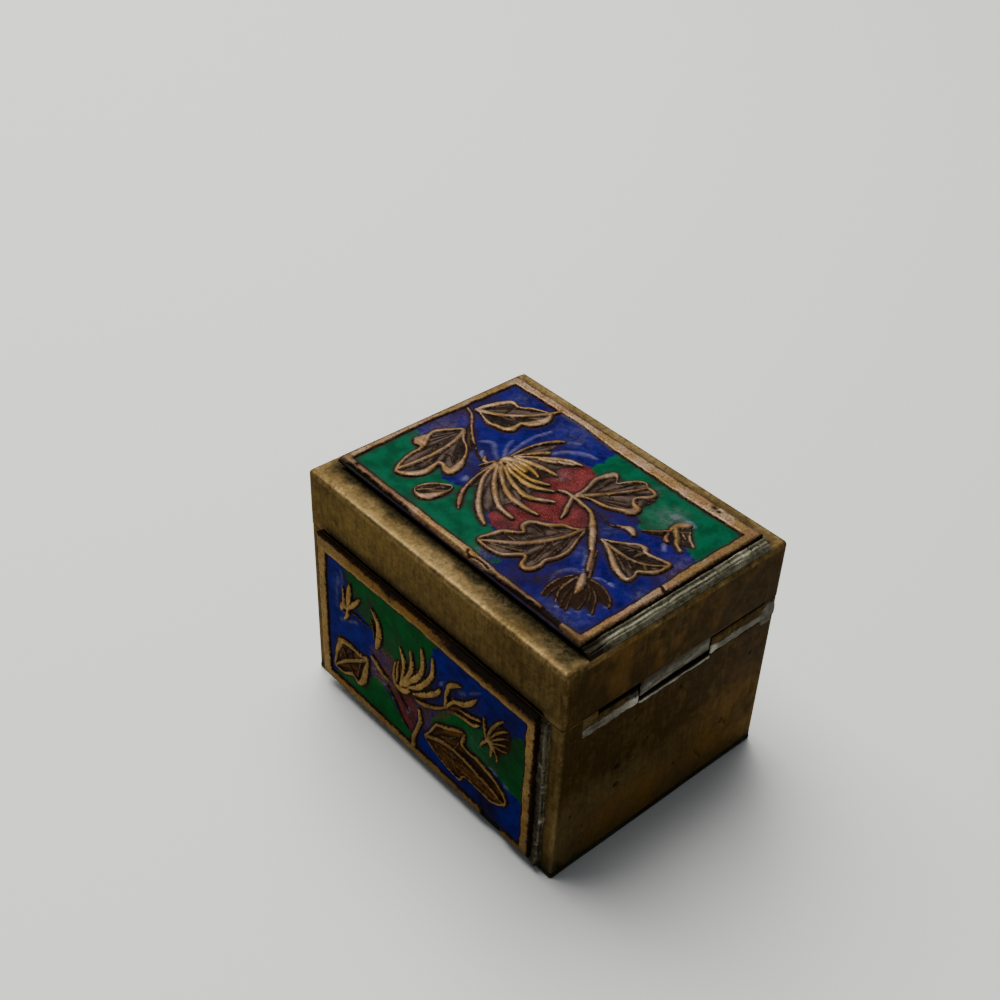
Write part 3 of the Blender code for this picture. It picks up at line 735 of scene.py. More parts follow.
def flat_grid(rows, columns):
    """Faces of a solid: a grid on top, a bottom face, and sides between the two."""
    index = np.arange(rows * columns).reshape(rows, columns)
    quads = np.stack([index[:-1, :-1], index[:-1, 1:], index[1:, 1:], index[1:, :-1]], axis=-1)
    faces = [tuple(quad) for quad in quads.reshape(-1, 4).tolist()]
    edge = np.concatenate([index[0, :-1], index[:-1, -1], index[-1, :0:-1], index[:0:-1, 0]]).tolist()
    count = len(edge)
    under = rows * columns
    for k in range(count):
        after = (k + 1) % count
        faces.append((edge[after], edge[k], under + k, under + after))
    faces.append(tuple(under + k for k in reversed(range(count))))
    return faces, edge


def place_slab(name, frame_of, u, v, top, bottom, material, body, slot):
    """A solid slab with a shaped top, set in a panel's own place."""
    origin, u_way, v_way, w_way = frame_of
    rows, columns = u.shape
    faces, edge = flat_grid(rows, columns)
    flat = np.column_stack([u.ravel(), v.ravel(), top.ravel()])
    under = flat[edge].copy()
    under[:, 2] = bottom
    local = np.concatenate([flat, under])
    points = origin + local[:, :1] * u_way + local[:, 1:2] * v_way + local[:, 2:] * w_way
    piece = new_piece(name, points, faces, material, body, slot)
    smooth = np.zeros(len(faces), dtype=bool)
    smooth[: (rows - 1) * (columns - 1)] = True
    piece.data.polygons.foreach_set("use_smooth", smooth)
    return piece, edge


def slab_mask(piece, name, values, edge):
    flat = values.ravel()
    give_mask(piece, name, np.concatenate([flat, flat[edge]]))


def relief_metal(name, gold, pale, copper, leaf_high, rub_low):
    """Gilt brass rubbed bright on its heights and its border, with painted shade in the hollows beside its
    ridges, and black with soot and painted shade where the soot mask says.
    """
    paint = Finish(name)
    patch = paint.noise(1.1, 4.0, 0.6)
    cloud = paint.noise(5.0, 3.0, 0.5)
    speck = paint.noise(0.2, 2.0, 0.6)
    chafed = paint.noise(0.45, 3.0, 0.65)
    leaf_low = tuple(0.08 * part for part in leaf_high)
    leaf_dull = tuple(0.45 * part for part in leaf_high)
    leaf_deep = tuple(0.12 * part for part in leaf_high)
    leaf = paint.blend(leaf_low, leaf_high, paint.spread(paint.mask("lines"), 0.25, 0.95))
    leaf = paint.blend(leaf, leaf_dull, paint.spread(patch, 0.42, 0.58, 0.0, 0.4))
    colour = paint.blend((0.012, 0.006, 0.003), leaf, paint.mask("leafy"))
    bright = paint.blend(gold, pale, paint.spread(cloud, 0.42, 0.58))
    bright = paint.blend(bright, (0.195, 0.112, 0.023), paint.mask("golden"))
    bright = paint.blend(bright, copper, paint.maths("MULTIPLY", paint.mask("copper"), 0.7))
    heights = paint.maths("ADD", paint.mask("heights"), paint.spread(patch, 0.4, 0.6, -0.16, 0.16))
    heights = paint.maths("ADD", heights, paint.spread(chafed, 0.4, 0.6, -0.22, 0.18))
    rubbed = paint.maths("MULTIPLY", paint.spread(heights, rub_low, rub_low + 0.56), paint.mask("gilt"))
    colour = paint.blend(colour, bright, rubbed)
    grimy = paint.maths("MULTIPLY", paint.mask("rim"), paint.spread(chafed, 0.5, 0.6, 0.0, 0.7))
    colour = paint.blend(colour, (0.055, 0.028, 0.012), grimy)
    colour = paint.blend(colour, (0.03, 0.016, 0.008), paint.spread(speck, 0.53, 0.64, 0.0, 0.4))
    # Painted shade: the hollow mask darkens the metal beside its ridges.
    colour = paint.blend(colour, leaf_deep, paint.mask("hollow"))
    # Soot, and painted shade where the soot and shade mask carries it.
    colour = paint.blend(colour, (0.005, 0.0035, 0.0025), paint.mask("soot_and_shade"))
    roughness = paint.spread(patch, 0.3, 0.7, 0.4, 0.58)
    metallic = paint.maths("MULTIPLY", rubbed, 0.95)
    grain = paint.bump(speck, 0.014)
    grain = paint.bump(patch, 0.03, grain)
    return paint.done(colour, roughness, metallic, grain, gloss=0.01, edge_tint=(0.85, 0.75, 0.55))


def enamel(name, blue_low, blue_high, green_low, green_high):
    """Opaque glass: blue, green and red run into each other, with milky veils and pinholes, dark patches,
    painted shade along the metal and a painted highlight.
    """
    paint = Finish(name)
    cloud = paint.noise(3.0, 4.0, 0.6)
    patch = paint.noise(0.9, 3.0, 0.6)
    frit = paint.noise(0.24, 2.0, 0.7)
    light = paint.spread(cloud, 0.36, 0.62, 0.25, 0.95)
    blue = paint.blend(blue_low, blue_high, light)
    violet = (blue_high[0] * 3.0 + 0.004, blue_high[1] * 1.4, blue_high[2])
    blue = paint.blend(blue, violet, paint.spread(patch, 0.5, 0.62, 0.0, 0.35))
    green = paint.blend(green_low, green_high, light)
    red = paint.blend((0.036, 0.0028, 0.0026), (0.11, 0.0185, 0.0185), light)
    ragged = paint.spread(patch, 0.4, 0.6, -0.25, 0.25)
    colour = blue
    for zone_name, fill in (("green", green), ("red", red)):
        share = paint.spread(paint.maths("ADD", paint.mask(zone_name), ragged), 0.25, 0.8)
        colour = paint.blend(colour, fill, share)
    flecks = paint.maths("MULTIPLY", paint.mask("red"), paint.spread(frit, 0.47, 0.36, 0.0, 0.5))
    colour = paint.blend(colour, (0.2, 0.06, 0.05), flecks)
    # Milky veils, and a painted highlight where the top panel has one.
    veil_and_highlight = paint.maths("MULTIPLY", paint.mask("veil_and_highlight"), paint.spread(patch, 0.4, 0.6, 0.3, 1.0))
    colour = paint.blend(colour, (0.085, 0.09, 0.105), veil_and_highlight)
    # Dark patches in the glass, with painted shade in a halo round the raised metal.
    murk_and_shade = paint.maths("MULTIPLY", paint.mask("murk_and_shade"), paint.spread(patch, 0.4, 0.6, 1.0, 0.5))
    colour = paint.blend(colour, (0.02, 0.012, 0.014), murk_and_shade)
    haze = paint.maths("MULTIPLY", paint.mask("haze"), paint.spread(patch, 0.4, 0.6, 0.55, 1.0))
    colour = paint.blend(colour, (0.066, 0.029, 0.017), haze)
    pale = paint.maths("MULTIPLY", paint.mask("haze"), paint.spread(frit, 0.46, 0.36, 0.0, 0.5))
    colour = paint.blend(colour, (0.23, 0.13, 0.1), pale)
    film = paint.maths("MULTIPLY", paint.mask("film"), paint.spread(patch, 0.4, 0.6, 0.55, 1.0))
    colour = paint.blend(colour, (0.125, 0.122, 0.205), film)
    # Painted shade where the glass meets the raised metal, with burnt glass by the chips.
    colour = paint.blend(colour, (0.006, 0.0035, 0.003), paint.mask("shore"))
    colour = paint.blend(colour, (0.004, 0.003, 0.005), paint.spread(frit, 0.52, 0.66, 0.0, 0.3))
    roughness = paint.spread(patch, 0.3, 0.7, 0.24, 0.38)
    relief = paint.bump(frit, 0.004)
    relief = paint.bump(patch, 0.02, relief)
    return paint.done(colour, roughness, 0.0, relief, gloss=0.004)


def set_panel(name, node, frame_of, cast, ceiling, body, masks, soot_and_shade, metal_finish, glass_finish,
              outline_depth=0.95):
    """The metal and the enamel of one panel. Where a mask isn't given, there is none of it."""
    none = np.zeros(cast.u.shape)
    cast.height = np.minimum(cast.height, ceiling)
    # A blurred copy of the heights. Where the metal lies below it, beside ridges, the hollow mask paints
    # shade.
    about = softened(cast.height, 7)
    u, v = cast.u, cast.v
    metal, edge = place_slab(
        name + "_relief", frame_of, u, v, cast.height - cast.drop, 0.0,
        relief_metal(name + "_metal", **metal_finish), body, "enamelled_panel")
    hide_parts(node)
    for mask_name, values in (
            ("heights", ramp(cast.height, POUR, CREST)), ("gilt", cast.gilt), ("copper", cast.copper),
            ("leafy", cast.leafy), ("lines", cast.lines), ("golden", masks.get("golden", none)),
            ("rim", ramp(cast.inward, 0.2, -0.2)),
            ("hollow", outline_depth * ramp(about - cast.height, 0.005, 0.07)), ("soot_and_shade", soot_and_shade)):
        slab_mask(metal, mask_name, values, edge)

    # The enamel is sampled at every second point, and dips into the metal past the ground.
    rim = 0.4
    glass_back = 0.15
    tucked_in = 0.25
    inner = np.s_[::2, ::2]
    u, v = u[inner], v[inner]
    level = POUR + 0.03 * layers(u, v, 3.2, cast.seed + 20) + 0.012 * mottle(u, v, 0.8, cast.seed + 21)
    level += cast.swell[inner]
    reach = ramp(cast.inward[inner], -rim, -rim / 2)
    level = tucked_in + (level - tucked_in) * reach
    glass, edge = place_slab(
        name + "_enamel", frame_of, u, v, level, glass_back,
        enamel(name + "_glass", **glass_finish), body, "enamelled_panel")
    # Painted shade: the glass is darkened along the raised metal, except under the pale streaks.
    near = softened(cast.height, 16)[inner] + 0.05 * layers(u, v, 0.8, cast.seed + 23)
    shore = outline_depth * ramp(near, GROUND + 0.05, GROUND + 0.26) * (1 - cast.film[inner])
    shore = np.maximum(shore, masks.get("burnt", none)[inner])
    # A wider halo of painted shade round the motifs is laid over the dark patches.
    broad = softened(cast.height, 60)[inner]
    shade_halo = 0.9 * ramp((broad - GROUND) * (1 + 0.4 * layers(u, v, 1.4, cast.seed + 22)), 0.04, 0.2)
    murk_and_shade = np.maximum(masks.get("murk_and_shade", none)[inner], shade_halo * (1 - cast.film[inner]))
    haze = masks.get("haze", none)[inner]
    for mask_name, values in (("murk_and_shade", murk_and_shade), ("haze", haze), ("film", cast.film[inner]), ("shore", shore)):
        slab_mask(glass, mask_name, values, edge)
    for mask_name in ("green", "red", "veil_and_highlight"):
        slab_mask(glass, mask_name, masks[mask_name][inner], edge)


SIDE_METAL = {
    "gold": (0.275, 0.172, 0.06), "pale": (0.215, 0.135, 0.048), "copper": (0.23, 0.095, 0.006),
    "leaf_high": (0.1, 0.034, 0.003), "rub_low": 0.34}
SIDE_GLASS = {
    "blue_low": (0.0003, 0.0008, 0.036), "blue_high": (0.001, 0.005, 0.13),
    "green_low": (0.0002, 0.036, 0.0055), "green_high": (0.0004, 0.066, 0.01)}


def front_casting(size):
    border = ([(0, 2.4), (10, 2.1), (20, 2.0), (31, 2.5)],
              [(0, 2.0), (28, 1.9), (38, 1.7), (46, 1.3), (53, 1.2)],
              [(0, 1.9), (31, 1.9)],
              [(0, 2.9), (15, 2.6), (26, 2.4), (34, 2.8), (53, 3.0)])
    cast = Casting(size, border, 0.17, 40, thin_drop=0.05)
    # Left leaf.
    cast.leaf(
        [(3.7, 4.1, 0.4), (3.9, 5.8, 0.6), (4.3, 7.7, 0.9), (4.9, 9.3, 1.3), (5.5, 10.8, 1.4),
         (6.6, 11.5, 1.0), (8.8, 11.7, 0.9), (11.0, 11.6, 0.6), (12.9, 12.2, 0.6), (12.8, 10.8, 0.8),
         (12.4, 9.3, 1.2), (11.9, 7.5, 1.5), (11.4, 6.0, 1.4), (10.4, 4.8, 1.0), (9.3, 5.4, 0.5),
         (8.4, 5.4, 0.8), (6.2, 4.1, 0.5)],
        [(3.8, 4.2, 0.5), (5.5, 6.0, 0.7), (7.5, 7.8, 0.8), (9.5, 9.3, 0.8), (11.3, 10.7, 0.8),
         (12.8, 11.9, 0.6)],
        [[(10.9, 9.7, 0.5), (10.3, 7.3, 0.5), (9.9, 5.8, 0.4)], [(7.0, 7.6, 0.4), (6.2, 9.6, 0.5)],
         [(8.8, 9.0, 0.4), (8.4, 10.8, 0.5)], [(7.4, 7.4, 0.4), (8.6, 6.2, 0.4)]], gilt=0.9, rim_share=1.05)
    # Long right leaf, its lower half worn to copper.
    cast.leaf(
        [(28.0, 6.6, 0.6), (28.9, 8.1, 0.7), (29.8, 9.7, 0.8), (30.8, 11.4, 0.8), (33.3, 12.7, 0.9),
         (35.2, 13.9, 1.1), (37.3, 14.9, 0.7), (37.2, 13.5, 1.1), (36.9, 12.3, 1.0), (38.0, 11.7, 0.8),
         (40.5, 11.7, 1.1), (42.3, 11.3, 1.0), (44.6, 10.6, 0.9), (46.5, 9.4, 0.9), (47.3, 8.0, 0.8),
         (46.4, 6.7, 0.6), (45.0, 5.8, 0.7), (43.6, 5.4, 0.8), (41.0, 5.5, 0.7), (38.3, 5.6, 0.6),
         (37.2, 5.0, 0.6), (36.5, 3.7, 0.7), (35.0, 3.8, 0.6), (31.8, 4.4, 0.6), (30.0, 5.3, 0.6)],
        [(28.1, 6.7, 0.6), (30.0, 7.8, 0.8), (32.5, 8.8, 0.8), (35.0, 9.3, 0.8), (38.0, 9.1, 0.8),
         (41.5, 8.4, 0.7), (44.2, 8.0, 0.7), (47.0, 7.0, 0.4)],
        [[(32.0, 9.8, 0.4), (34.0, 11.0, 0.5), (35.4, 12.5, 0.4)], [(35.2, 9.7, 0.4), (36.2, 11.8, 0.5)],
         [(34.2, 8.6, 0.4), (35.2, 6.4, 0.4), (35.8, 4.7, 0.3)], [(40.6, 8.2, 0.4), (42.6, 6.6, 0.4)]],
        gilt=0.8, copper=0.25, rim_share=0.72)
    cast.field([(28.0, 6.6), (32.5, 8.6), (38.0, 8.9), (44.2, 7.8), (46.8, 6.9), (43.6, 5.5), (38.3, 5.8),
                (36.4, 4.1), (31.8, 4.7)], (28, 6.7), gilt=0.42, low=FIELD + 0.08, copper=0.9, fine=0.45)
    # The flower: a dark heart, the petals that spread from it, and the cup below them.
    cast.field(
        [(20.2, 12.3), (20.0, 15.8), (21.0, 17.9), (24.0, 18.9), (27.0, 19.4), (29.6, 17.2), (27.5, 14.3),
         (25.5, 12.3), (23.0, 11.9)], (21.5, 12.3), gilt=0.2, low=0.6, copper=0.5)
    cast.ridges([
        [(20.0, 13.7, 0.6), (20.0, 15.3, 0.6), (20.5, 17.4, 0.4)],
        [(20.8, 13.5, 0.6), (20.9, 15.8, 0.6), (21.2, 17.9, 0.4)],
        [(21.8, 13.3, 0.9), (22.3, 15.8, 0.9), (22.6, 17.9, 0.9), (22.3, 19.7, 0.8), (21.6, 21.2, 0.5)],
        [(22.2, 13.8, 1.0), (23.2, 15.7, 1.2), (24.2, 17.9, 1.1), (24.6, 19.9, 1.0), (24.3, 22.2, 0.7)],
        [(22.8, 13.9, 0.9), (24.3, 16.1, 1.3), (26.2, 18.4, 1.2), (27.2, 20.9, 1.1), (27.2, 22.9, 0.9),
         (27.0, 24.8, 0.6)],
        [(23.7, 14.2, 0.6), (25.8, 15.7, 1.0), (27.7, 18.0, 1.1), (29.2, 20.4, 1.1), (29.7, 22.4, 0.9),
         (29.6, 24.8, 0.5)],
        [(25.0, 13.7, 0.5), (27.0, 15.0, 1.0), (29.0, 16.6, 1.2), (30.6, 18.2, 1.1), (31.4, 19.5, 0.7)],
        [(19.9, 14.5, 0.7), (20.2, 12.9, 1.1), (21.3, 12.2, 1.4), (22.6, 12.5, 1.4), (23.7, 13.5, 1.0)]],
        gilt=0.95)
    # Stems.
    cast.ridge([(25.6, 12.9, 0.5), (27.5, 13.3, 0.9), (29.2, 14.2, 0.8), (31.0, 15.3, 0.6),
                (33.3, 17.4, 0.5)], gilt=0.7, copper=0.5)
    cast.ridge([(14.2, 13.8, 0.7), (15.3, 13.0, 1.0), (16.7, 12.2, 1.0), (18.3, 11.8, 0.7)], copper=0.3)
    cast.ridge([(26.3, 11.2, 0.7), (26.7, 9.1, 1.0), (26.1, 7.2, 0.9), (25.6, 5.8, 0.8), (25.0, 4.0, 1.0),
                (24.9, 2.0, 1.1)])
    cast.ridge([(20.6, 11.6, 0.6), (21.6, 10.1, 0.7), (23.4, 9.0, 0.6)], gilt=0.35, copper=0.9, crest=0.75)
    cast.ridge([(18.2, 10.1, 0.6), (19.8, 8.5, 0.7), (21.8, 5.8, 0.6), (23.4, 4.5, 0.5)], gilt=0.4,
               copper=0.8, crest=0.74)
    # A lone petal, and the thin stem from it to the upper left bud.
    cast.ridge([(14.3, 24.2, 0.4), (15.2, 23.4, 0.8), (15.9, 22.4, 1.2), (16.2, 20.9, 1.5),
                (16.1, 19.4, 1.5), (15.8, 17.9, 1.3), (15.4, 16.7, 0.8)], gilt=0.95)
    cast.ridge([(14.2, 21.7, 0.4), (14.8, 19.8, 0.5), (15.0, 18.2, 0.4)], gilt=0.4)
    cast.ridge([(8.9, 19.4, 0.4), (10.2, 19.8, 0.5), (11.5, 19.6, 0.4), (13.2, 19.8, 0.4),
                (14.2, 20.2, 0.4)], gilt=0.35, crest=0.78)
    # Upper left bud.
    cast.ridges([
        [(8.0, 20.0, 0.9), (8.1, 21.9, 1.4), (8.3, 23.7, 1.2), (8.7, 25.4, 0.6)],
        [(8.3, 20.2, 0.8), (9.3, 21.4, 1.1), (10.3, 22.6, 1.0), (11.1, 23.9, 0.5)],
        [(7.8, 19.8, 0.7), (6.9, 20.4, 1.0), (6.9, 21.9, 0.7), (6.6, 23.6, 0.4)],
        [(7.8, 19.8, 0.7), (6.5, 19.6, 1.3), (6.2, 18.6, 0.8)],
        [(7.9, 19.9, 0.7), (7.7, 18.2, 0.8), (6.9, 16.9, 0.4)]], gilt=0.9, copper=0.25)
    # Middle bud.
    cast.field([(33.6, 17.6), (34.4, 20.4), (36.0, 20.0), (38.4, 18.8), (40.6, 19.8), (39.5, 18.4),
                (36.6, 17.7)], (33.2, 17.2), gilt=0.3, copper=0.8, low=0.6)
    cast.ridges([
        [(32.8, 17.4, 0.7), (33.0, 19.9, 0.9), (33.5, 21.9, 1.0), (34.8, 23.2, 1.0), (36.4, 24.2, 0.5)],
        [(33.4, 17.8, 0.6), (34.8, 19.7, 0.8), (36.6, 20.6, 1.1), (38.0, 21.7, 1.1), (39.2, 23.1, 0.9),
         (39.9, 24.2, 0.4)],
        [(35.2, 17.6, 0.4), (37.5, 18.1, 0.8), (39.5, 18.4, 0.7), (40.7, 19.5, 0.5)],
        [(36.4, 19.2, 0.4), (38.5, 19.6, 0.7), (40.9, 20.6, 0.6)]], gilt=0.8, copper=0.25)
    # Right bud: dark petals, and a bright foot of four lobes.
    cast.field([(42.6, 18.4), (43.6, 21.4), (46.4, 23.4), (47.6, 21.8), (47.2, 18.8), (44.8, 16.6)],
               (43, 17.6), gilt=0.05, copper=0.3, low=0.61, leafy=0.4)
    cast.ridges([
        [(42.4, 18.2, 0.6), (41.9, 19.9, 0.7), (41.7, 22.0, 0.4)],
        [(42.8, 18.4, 0.7), (43.2, 20.2, 0.7), (44.0, 21.9, 0.7), (45.0, 23.4, 0.6), (45.9, 24.4, 0.3)],
        [(43.2, 18.6, 0.5), (44.4, 20.6, 0.5), (46.0, 22.4, 0.5), (47.0, 23.2, 0.3)],
        [(43.6, 18.6, 0.5), (45.0, 20.0, 0.5), (46.6, 21.4, 0.4), (47.4, 21.8, 0.3)],
        [(43.8, 18.2, 0.5), (45.4, 19.2, 0.4), (47.0, 20.2, 0.4)],
        [(44.0, 17.8, 0.4), (45.6, 18.2, 0.4), (47.0, 18.8, 0.3)]], gilt=0.62, copper=0.35)
    cast.ridges([
        [(42.7, 18.0, 1.1), (43.5, 17.8, 1.4), (44.1, 17.2, 1.0)],
        [(43.3, 17.8, 0.8), (43.6, 16.4, 0.7), (43.5, 15.0, 0.4)],
        [(42.6, 17.7, 0.7), (41.6, 16.4, 0.6), (41.1, 15.2, 0.3)],
        [(43.8, 17.4, 0.5), (44.8, 16.2, 0.4), (45.0, 15.2, 0.3)]], gilt=0.85, copper=0.2)
    # Low metal that the enamel has run over, in streaks and in small specks.
    cast.sunk([(4.9, 18.4, 1.0), (5.0, 21.4, 1.1), (5.4, 24.8, 0.8)], film=0.2)
    cast.sunk([(9.2, 17.8, 0.9), (10.3, 18.2, 0.9)], film=0.3)
    cast.sunk([(5.8, 16.0, 1.2), (7.4, 17.0, 0.9)], film=0.25)
    cast.sunk([(38.4, 24.2, 0.7), (40.6, 26.0, 0.7)], film=0.4)
    cast.sunk([(36.2, 22.6, 1.2), (37.2, 23.2, 1.0)], film=0.3)
    cast.sunk([(31.4, 20.6, 0.7), (32.0, 21.8, 0.6)], film=0.6)
    cast.sunk([(6.4, 26.8, 0.8), (6.6, 24.6, 0.7)], film=0.3)
    for across, up in (
            (17.0, 11.0), (17.4, 9.9), (19.6, 8.4), (23.6, 9.2), (23.2, 8.0), (14.2, 12.9), (14.6, 11.2),
            (18.0, 11.6), (43.6, 12.3), (44.6, 11.9), (46.9, 11.1), (22.0, 5.1), (6.8, 18.0), (8.4, 17.2),
            (9.8, 18.0), (31.6, 21.0)):
        cast.sunk([(across - 0.25, up - 0.1, 0.5), (across + 0.25, up + 0.1, 0.6)], film=0.7)
    return cast


def make_front():
    low, high = in_mm(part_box("front_panel"))
    frame_of = (np.array([low[0], high[1], low[2]]), ALONG, UP, -DEEP)
    cast = front_casting((high[0] - low[0], high[2] - low[2]))
    u, v = cast.u, cast.v
    green = np.maximum.reduce([
        zone(u, v, [(8.3, 29.4), (29.2, 29.4), (29.6, 26.4), (28.6, 23.4), (27.4, 19.4), (21, 16.8),
                    (17.4, 16.8), (16.2, 18.4), (13.4, 19.8), (11.2, 20.6), (9.6, 22.0), (8.6, 24.4)],
             0.4, 51),
        zone(u, v, [(29.4, 9.1), (30.2, 12.9), (33.6, 17.0), (38, 17.6), (40.6, 18.4), (42, 20.4),
                    (46, 18.4), (47.6, 22.2), (49.0, 23.4), (52, 23.4), (52, 11.6), (48, 10.8), (44, 11.8),
                    (38, 12.2), (33, 12.3)], 0.4, 52),
        zone(u, v, [(4.6, 1), (24.4, 1), (24.2, 3.8), (21.4, 6.0), (18.0, 8.8), (15.0, 9.9), (13.0, 8.0),
                    (9, 4.7), (5.4, 4.3)], 0.4, 53)])
    red = zone(u, v, [(20.0, 12.4), (22, 12.6), (25, 11.6), (25.6, 9.5), (25.2, 6.0), (24.2, 4.5),
                      (22.0, 5.4), (20.4, 8.0), (18.4, 10.0)], 0.5, 54)
    red = np.maximum(red, zone(u, v, [(33.2, 16.4), (33.8, 19.4), (36.2, 19.8), (36.0, 17.6)], 0.3, 57))
    veil_and_highlight = dabs(u, v, (
        (0.35, 5.5, 23.4, 1.6), (0.5, 44.3, 12.2, 0.7), (0.35, 46.8, 11.1, 0.8), (0.4, 17.2, 10.0, 0.8),
        (0.5, 23.5, 9.0, 0.6), (0.3, 27, 10.5, 2.0), (0.25, 40, 14.3, 2.5), (0.15, 16.8, 11.4, 2.2),
        (0.2, 7, 4.0, 2.0)))
    haze = (0.9 * zone(u, v, [(13.6, 9.6), (14.2, 12.4), (17, 13.2), (20, 11.6), (20.6, 10.0),
                              (18.6, 9.0)], 0.7, 59)
            + 0.75 * zone(u, v, [(13.8, 13.6), (14.2, 16.4), (17.6, 17.4), (20, 16.6), (20, 12.8),
                                 (17, 13.4)], 0.8, 61)
            + 0.55 * zone(u, v, [(25.4, 12.0), (28, 13.8), (31.5, 16.4), (33.8, 17.4), (33.0, 14.8),
                                 (29.4, 11.6), (28.6, 8.6), (27.0, 8.0), (26.6, 10.6)], 0.6, 62))
    round_flower = 0.45 * zone(u, v, [(14, 13.9), (17, 16.8), (20, 17.4), (20.4, 12.3), (26, 12.8),
                                      (31, 16.0), (33.5, 17.0), (29, 11.9), (27.6, 7.1), (26.0, 4.5),
                                      (23.6, 4.5), (24.6, 7.7), (22, 9.9), (17, 10.1)], 0.9, 59)
    murk_and_shade = dabs(u, v, (
        (0.9, 9.4, 23.4, 1.5), (0.8, 7.0, 26.0, 1.2), (0.7, 9.6, 20.2, 1.2), (0.6, 12.6, 21.8, 2.0),
        (0.7, 14.4, 24.0, 1.2), (0.6, 13.8, 25.4, 1.0), (0.8, 46.2, 20.0, 1.8), (0.6, 44.0, 13.8, 1.6),
        (0.5, 32.0, 18.4, 1.4), (0.7, 18.6, 19.2, 1.4), (0.4, 20.6, 22.0, 1.6), (0.6, 3.4, 4.9, 1.2),
        (0.6, 20, 10.0, 2.2), (0.5, 24.5, 7.2, 1.4), (0.7, 36, 22.0, 2.0), (0.6, 40, 21.9, 1.5),
        (0.3, 42.5, 2.4, 3.0), (0.4, 28, 11.4, 2.0), (0.4, 47.5, 23.4, 1.6)), round_flower)
    amber = 1.2 * ramp(v, 28.7, 29.5) * ramp(u + 2.0 * layers(u, v, 5.0, 60), 3.0, 12.0)
    cast.gilt *= 1 - (0.12 + 0.28 * ramp(u, 24.0, 34.0)) * ramp(v, 2.2, 1.2)
    cast.gilt *= 1 - (0.28 + 0.24 * ramp(u, 26.0, 34.0)) * ramp(v, 28.6, 29.4)
    cast.copper = np.maximum(cast.copper, amber)
    # The top edge is bevelled and sooty at its hinge end, and the lower border is chipped away there.
    bevel = ramp(u, 30.0, 36.0) * ramp(v + 0.3 * layers(u, v, 1.5, 58), 29.3, 30.0)
    notch = spot(u, v, (19.0, 31.0), 1.1)
    chip = ramp(u, 41.6, 42.0) * ramp(u, 46.6, 46.1) * ramp(v, 1.8, 1.2)
    cast.height -= (0.3 * bevel + 0.35 * notch + 0.42 * chip) * ramp(cast.height, 0.5, 0.8)
    burnt = dabs(u, v, (
        (0.75, 42.4, 3.2, 3.6), (0.5, 47.4, 25.0, 3.4), (0.4, 46.5, 15.0, 3.4), (0.25, 40.0, 25.0, 3.0),
        (0.3, 48.4, 20.0, 3.0)))
    # Painted shade along the top strip, under the lid's edge. Soot at the bevel and notch, and the chip
    # painted dark.
    soot_and_shade = np.maximum.reduce([0.9 * bevel, 0.9 * notch, chip, 0.6 * ramp(v, 30.4, 31.0)])
    set_panel("front", "front_panel", frame_of, cast, 1.0, "box",
              {"green": green, "red": red, "veil_and_highlight": veil_and_highlight, "burnt": burnt, "murk_and_shade": murk_and_shade, "haze": haze}, soot_and_shade,
              SIDE_METAL, SIDE_GLASS)


make_front()


def back_casting(size):
    border = ([(0, 2.3), (31, 2.3)], [(0, 2.2), (53, 2.0)], [(0, 2.2), (31, 2.4)], [(0, 2.5), (53, 2.4)])
    cast = Casting(size, border, 0.2, 60)
    # Two leaves.
    cast.leaf(
        [(8.0, 13.5, 0.6), (9.5, 17.3, 0.9), (12.9, 19.8, 0.9), (14.2, 17.6, 0.7), (17.4, 17.0, 1.0),
         (20.0, 13.4, 0.9), (16.7, 11.2, 1.3), (14.4, 11.8, 0.7), (12.3, 9.6, 1.1), (9.4, 11.4, 0.8)],
        [(8.3, 13.5, 0.7), (13.5, 14.6, 0.8), (19.4, 13.5, 0.5)],
        [[(11.0, 14.1, 0.5), (12.8, 17.6, 0.5)], [(13.4, 14.6, 0.5), (16.2, 12.2, 0.5)]])
    cast.leaf(
        [(45.0, 17.0, 0.6), (43.0, 20.4, 0.9), (39.8, 21.2, 0.9), (38.6, 19.0, 0.7), (35.4, 18.0, 1.0),
         (33.4, 15.0, 0.8), (36.4, 13.6, 1.3), (38.8, 14.0, 0.7), (40.9, 12.0, 1.1), (43.8, 14.0, 0.8)],
        [(44.7, 17.0, 0.7), (39.6, 16.6, 0.8), (34.2, 15.0, 0.5)],
        [[(41.8, 16.8, 0.5), (40.6, 19.4, 0.5)], [(39.4, 16.4, 0.5), (37.0, 14.4, 0.5)]])
    # A half flower with seven petals, its cup and its stems.
    hub = (26.3, 12.0)
    cast.field([(23.0, 11.4), (21.4, 15.6), (24.0, 18.6), (28.6, 18.6), (31.2, 15.6), (29.6, 11.4)], hub,
               gilt=0.2, low=0.6, copper=0.5)
    for step in range(-3, 4):
        tip_angle = math.radians(90 - 22 * step)
        bend_angle = math.radians(90 - 15 * step)
        cast.ridge(
            [(hub[0] + 0.5 * step, hub[1], 0.7),
             (hub[0] + 6.0 * math.cos(bend_angle), hub[1] + 6.0 * math.sin(bend_angle), 1.2),
             (hub[0] + 11.0 * math.cos(tip_angle), hub[1] + 11.0 * math.sin(tip_angle), 0.6)])
    cast.ridge([(24.4, 12.0, 0.9), (26.3, 11.0, 1.4), (28.2, 12.0, 0.9)])
    cast.ridge([(20.0, 13.2, 0.7), (23.0, 9.0, 0.9), (26.3, 7.6, 0.9), (30.0, 9.6, 0.9), (33.4, 14.8, 0.7)])
    cast.ridge([(26.3, 11.0, 0.8), (26.6, 7.6, 0.9), (25.4, 1.8, 1.0)])
    cast.sunk([(14.0, 24.0, 0.8), (20.0, 25.0, 0.9), (24.0, 26.0, 0.6)], film=0.5)
    cast.sunk([(38.0, 25.6, 0.8), (42.0, 24.6, 0.9), (46.0, 22.6, 0.6)], film=0.5)
    return cast


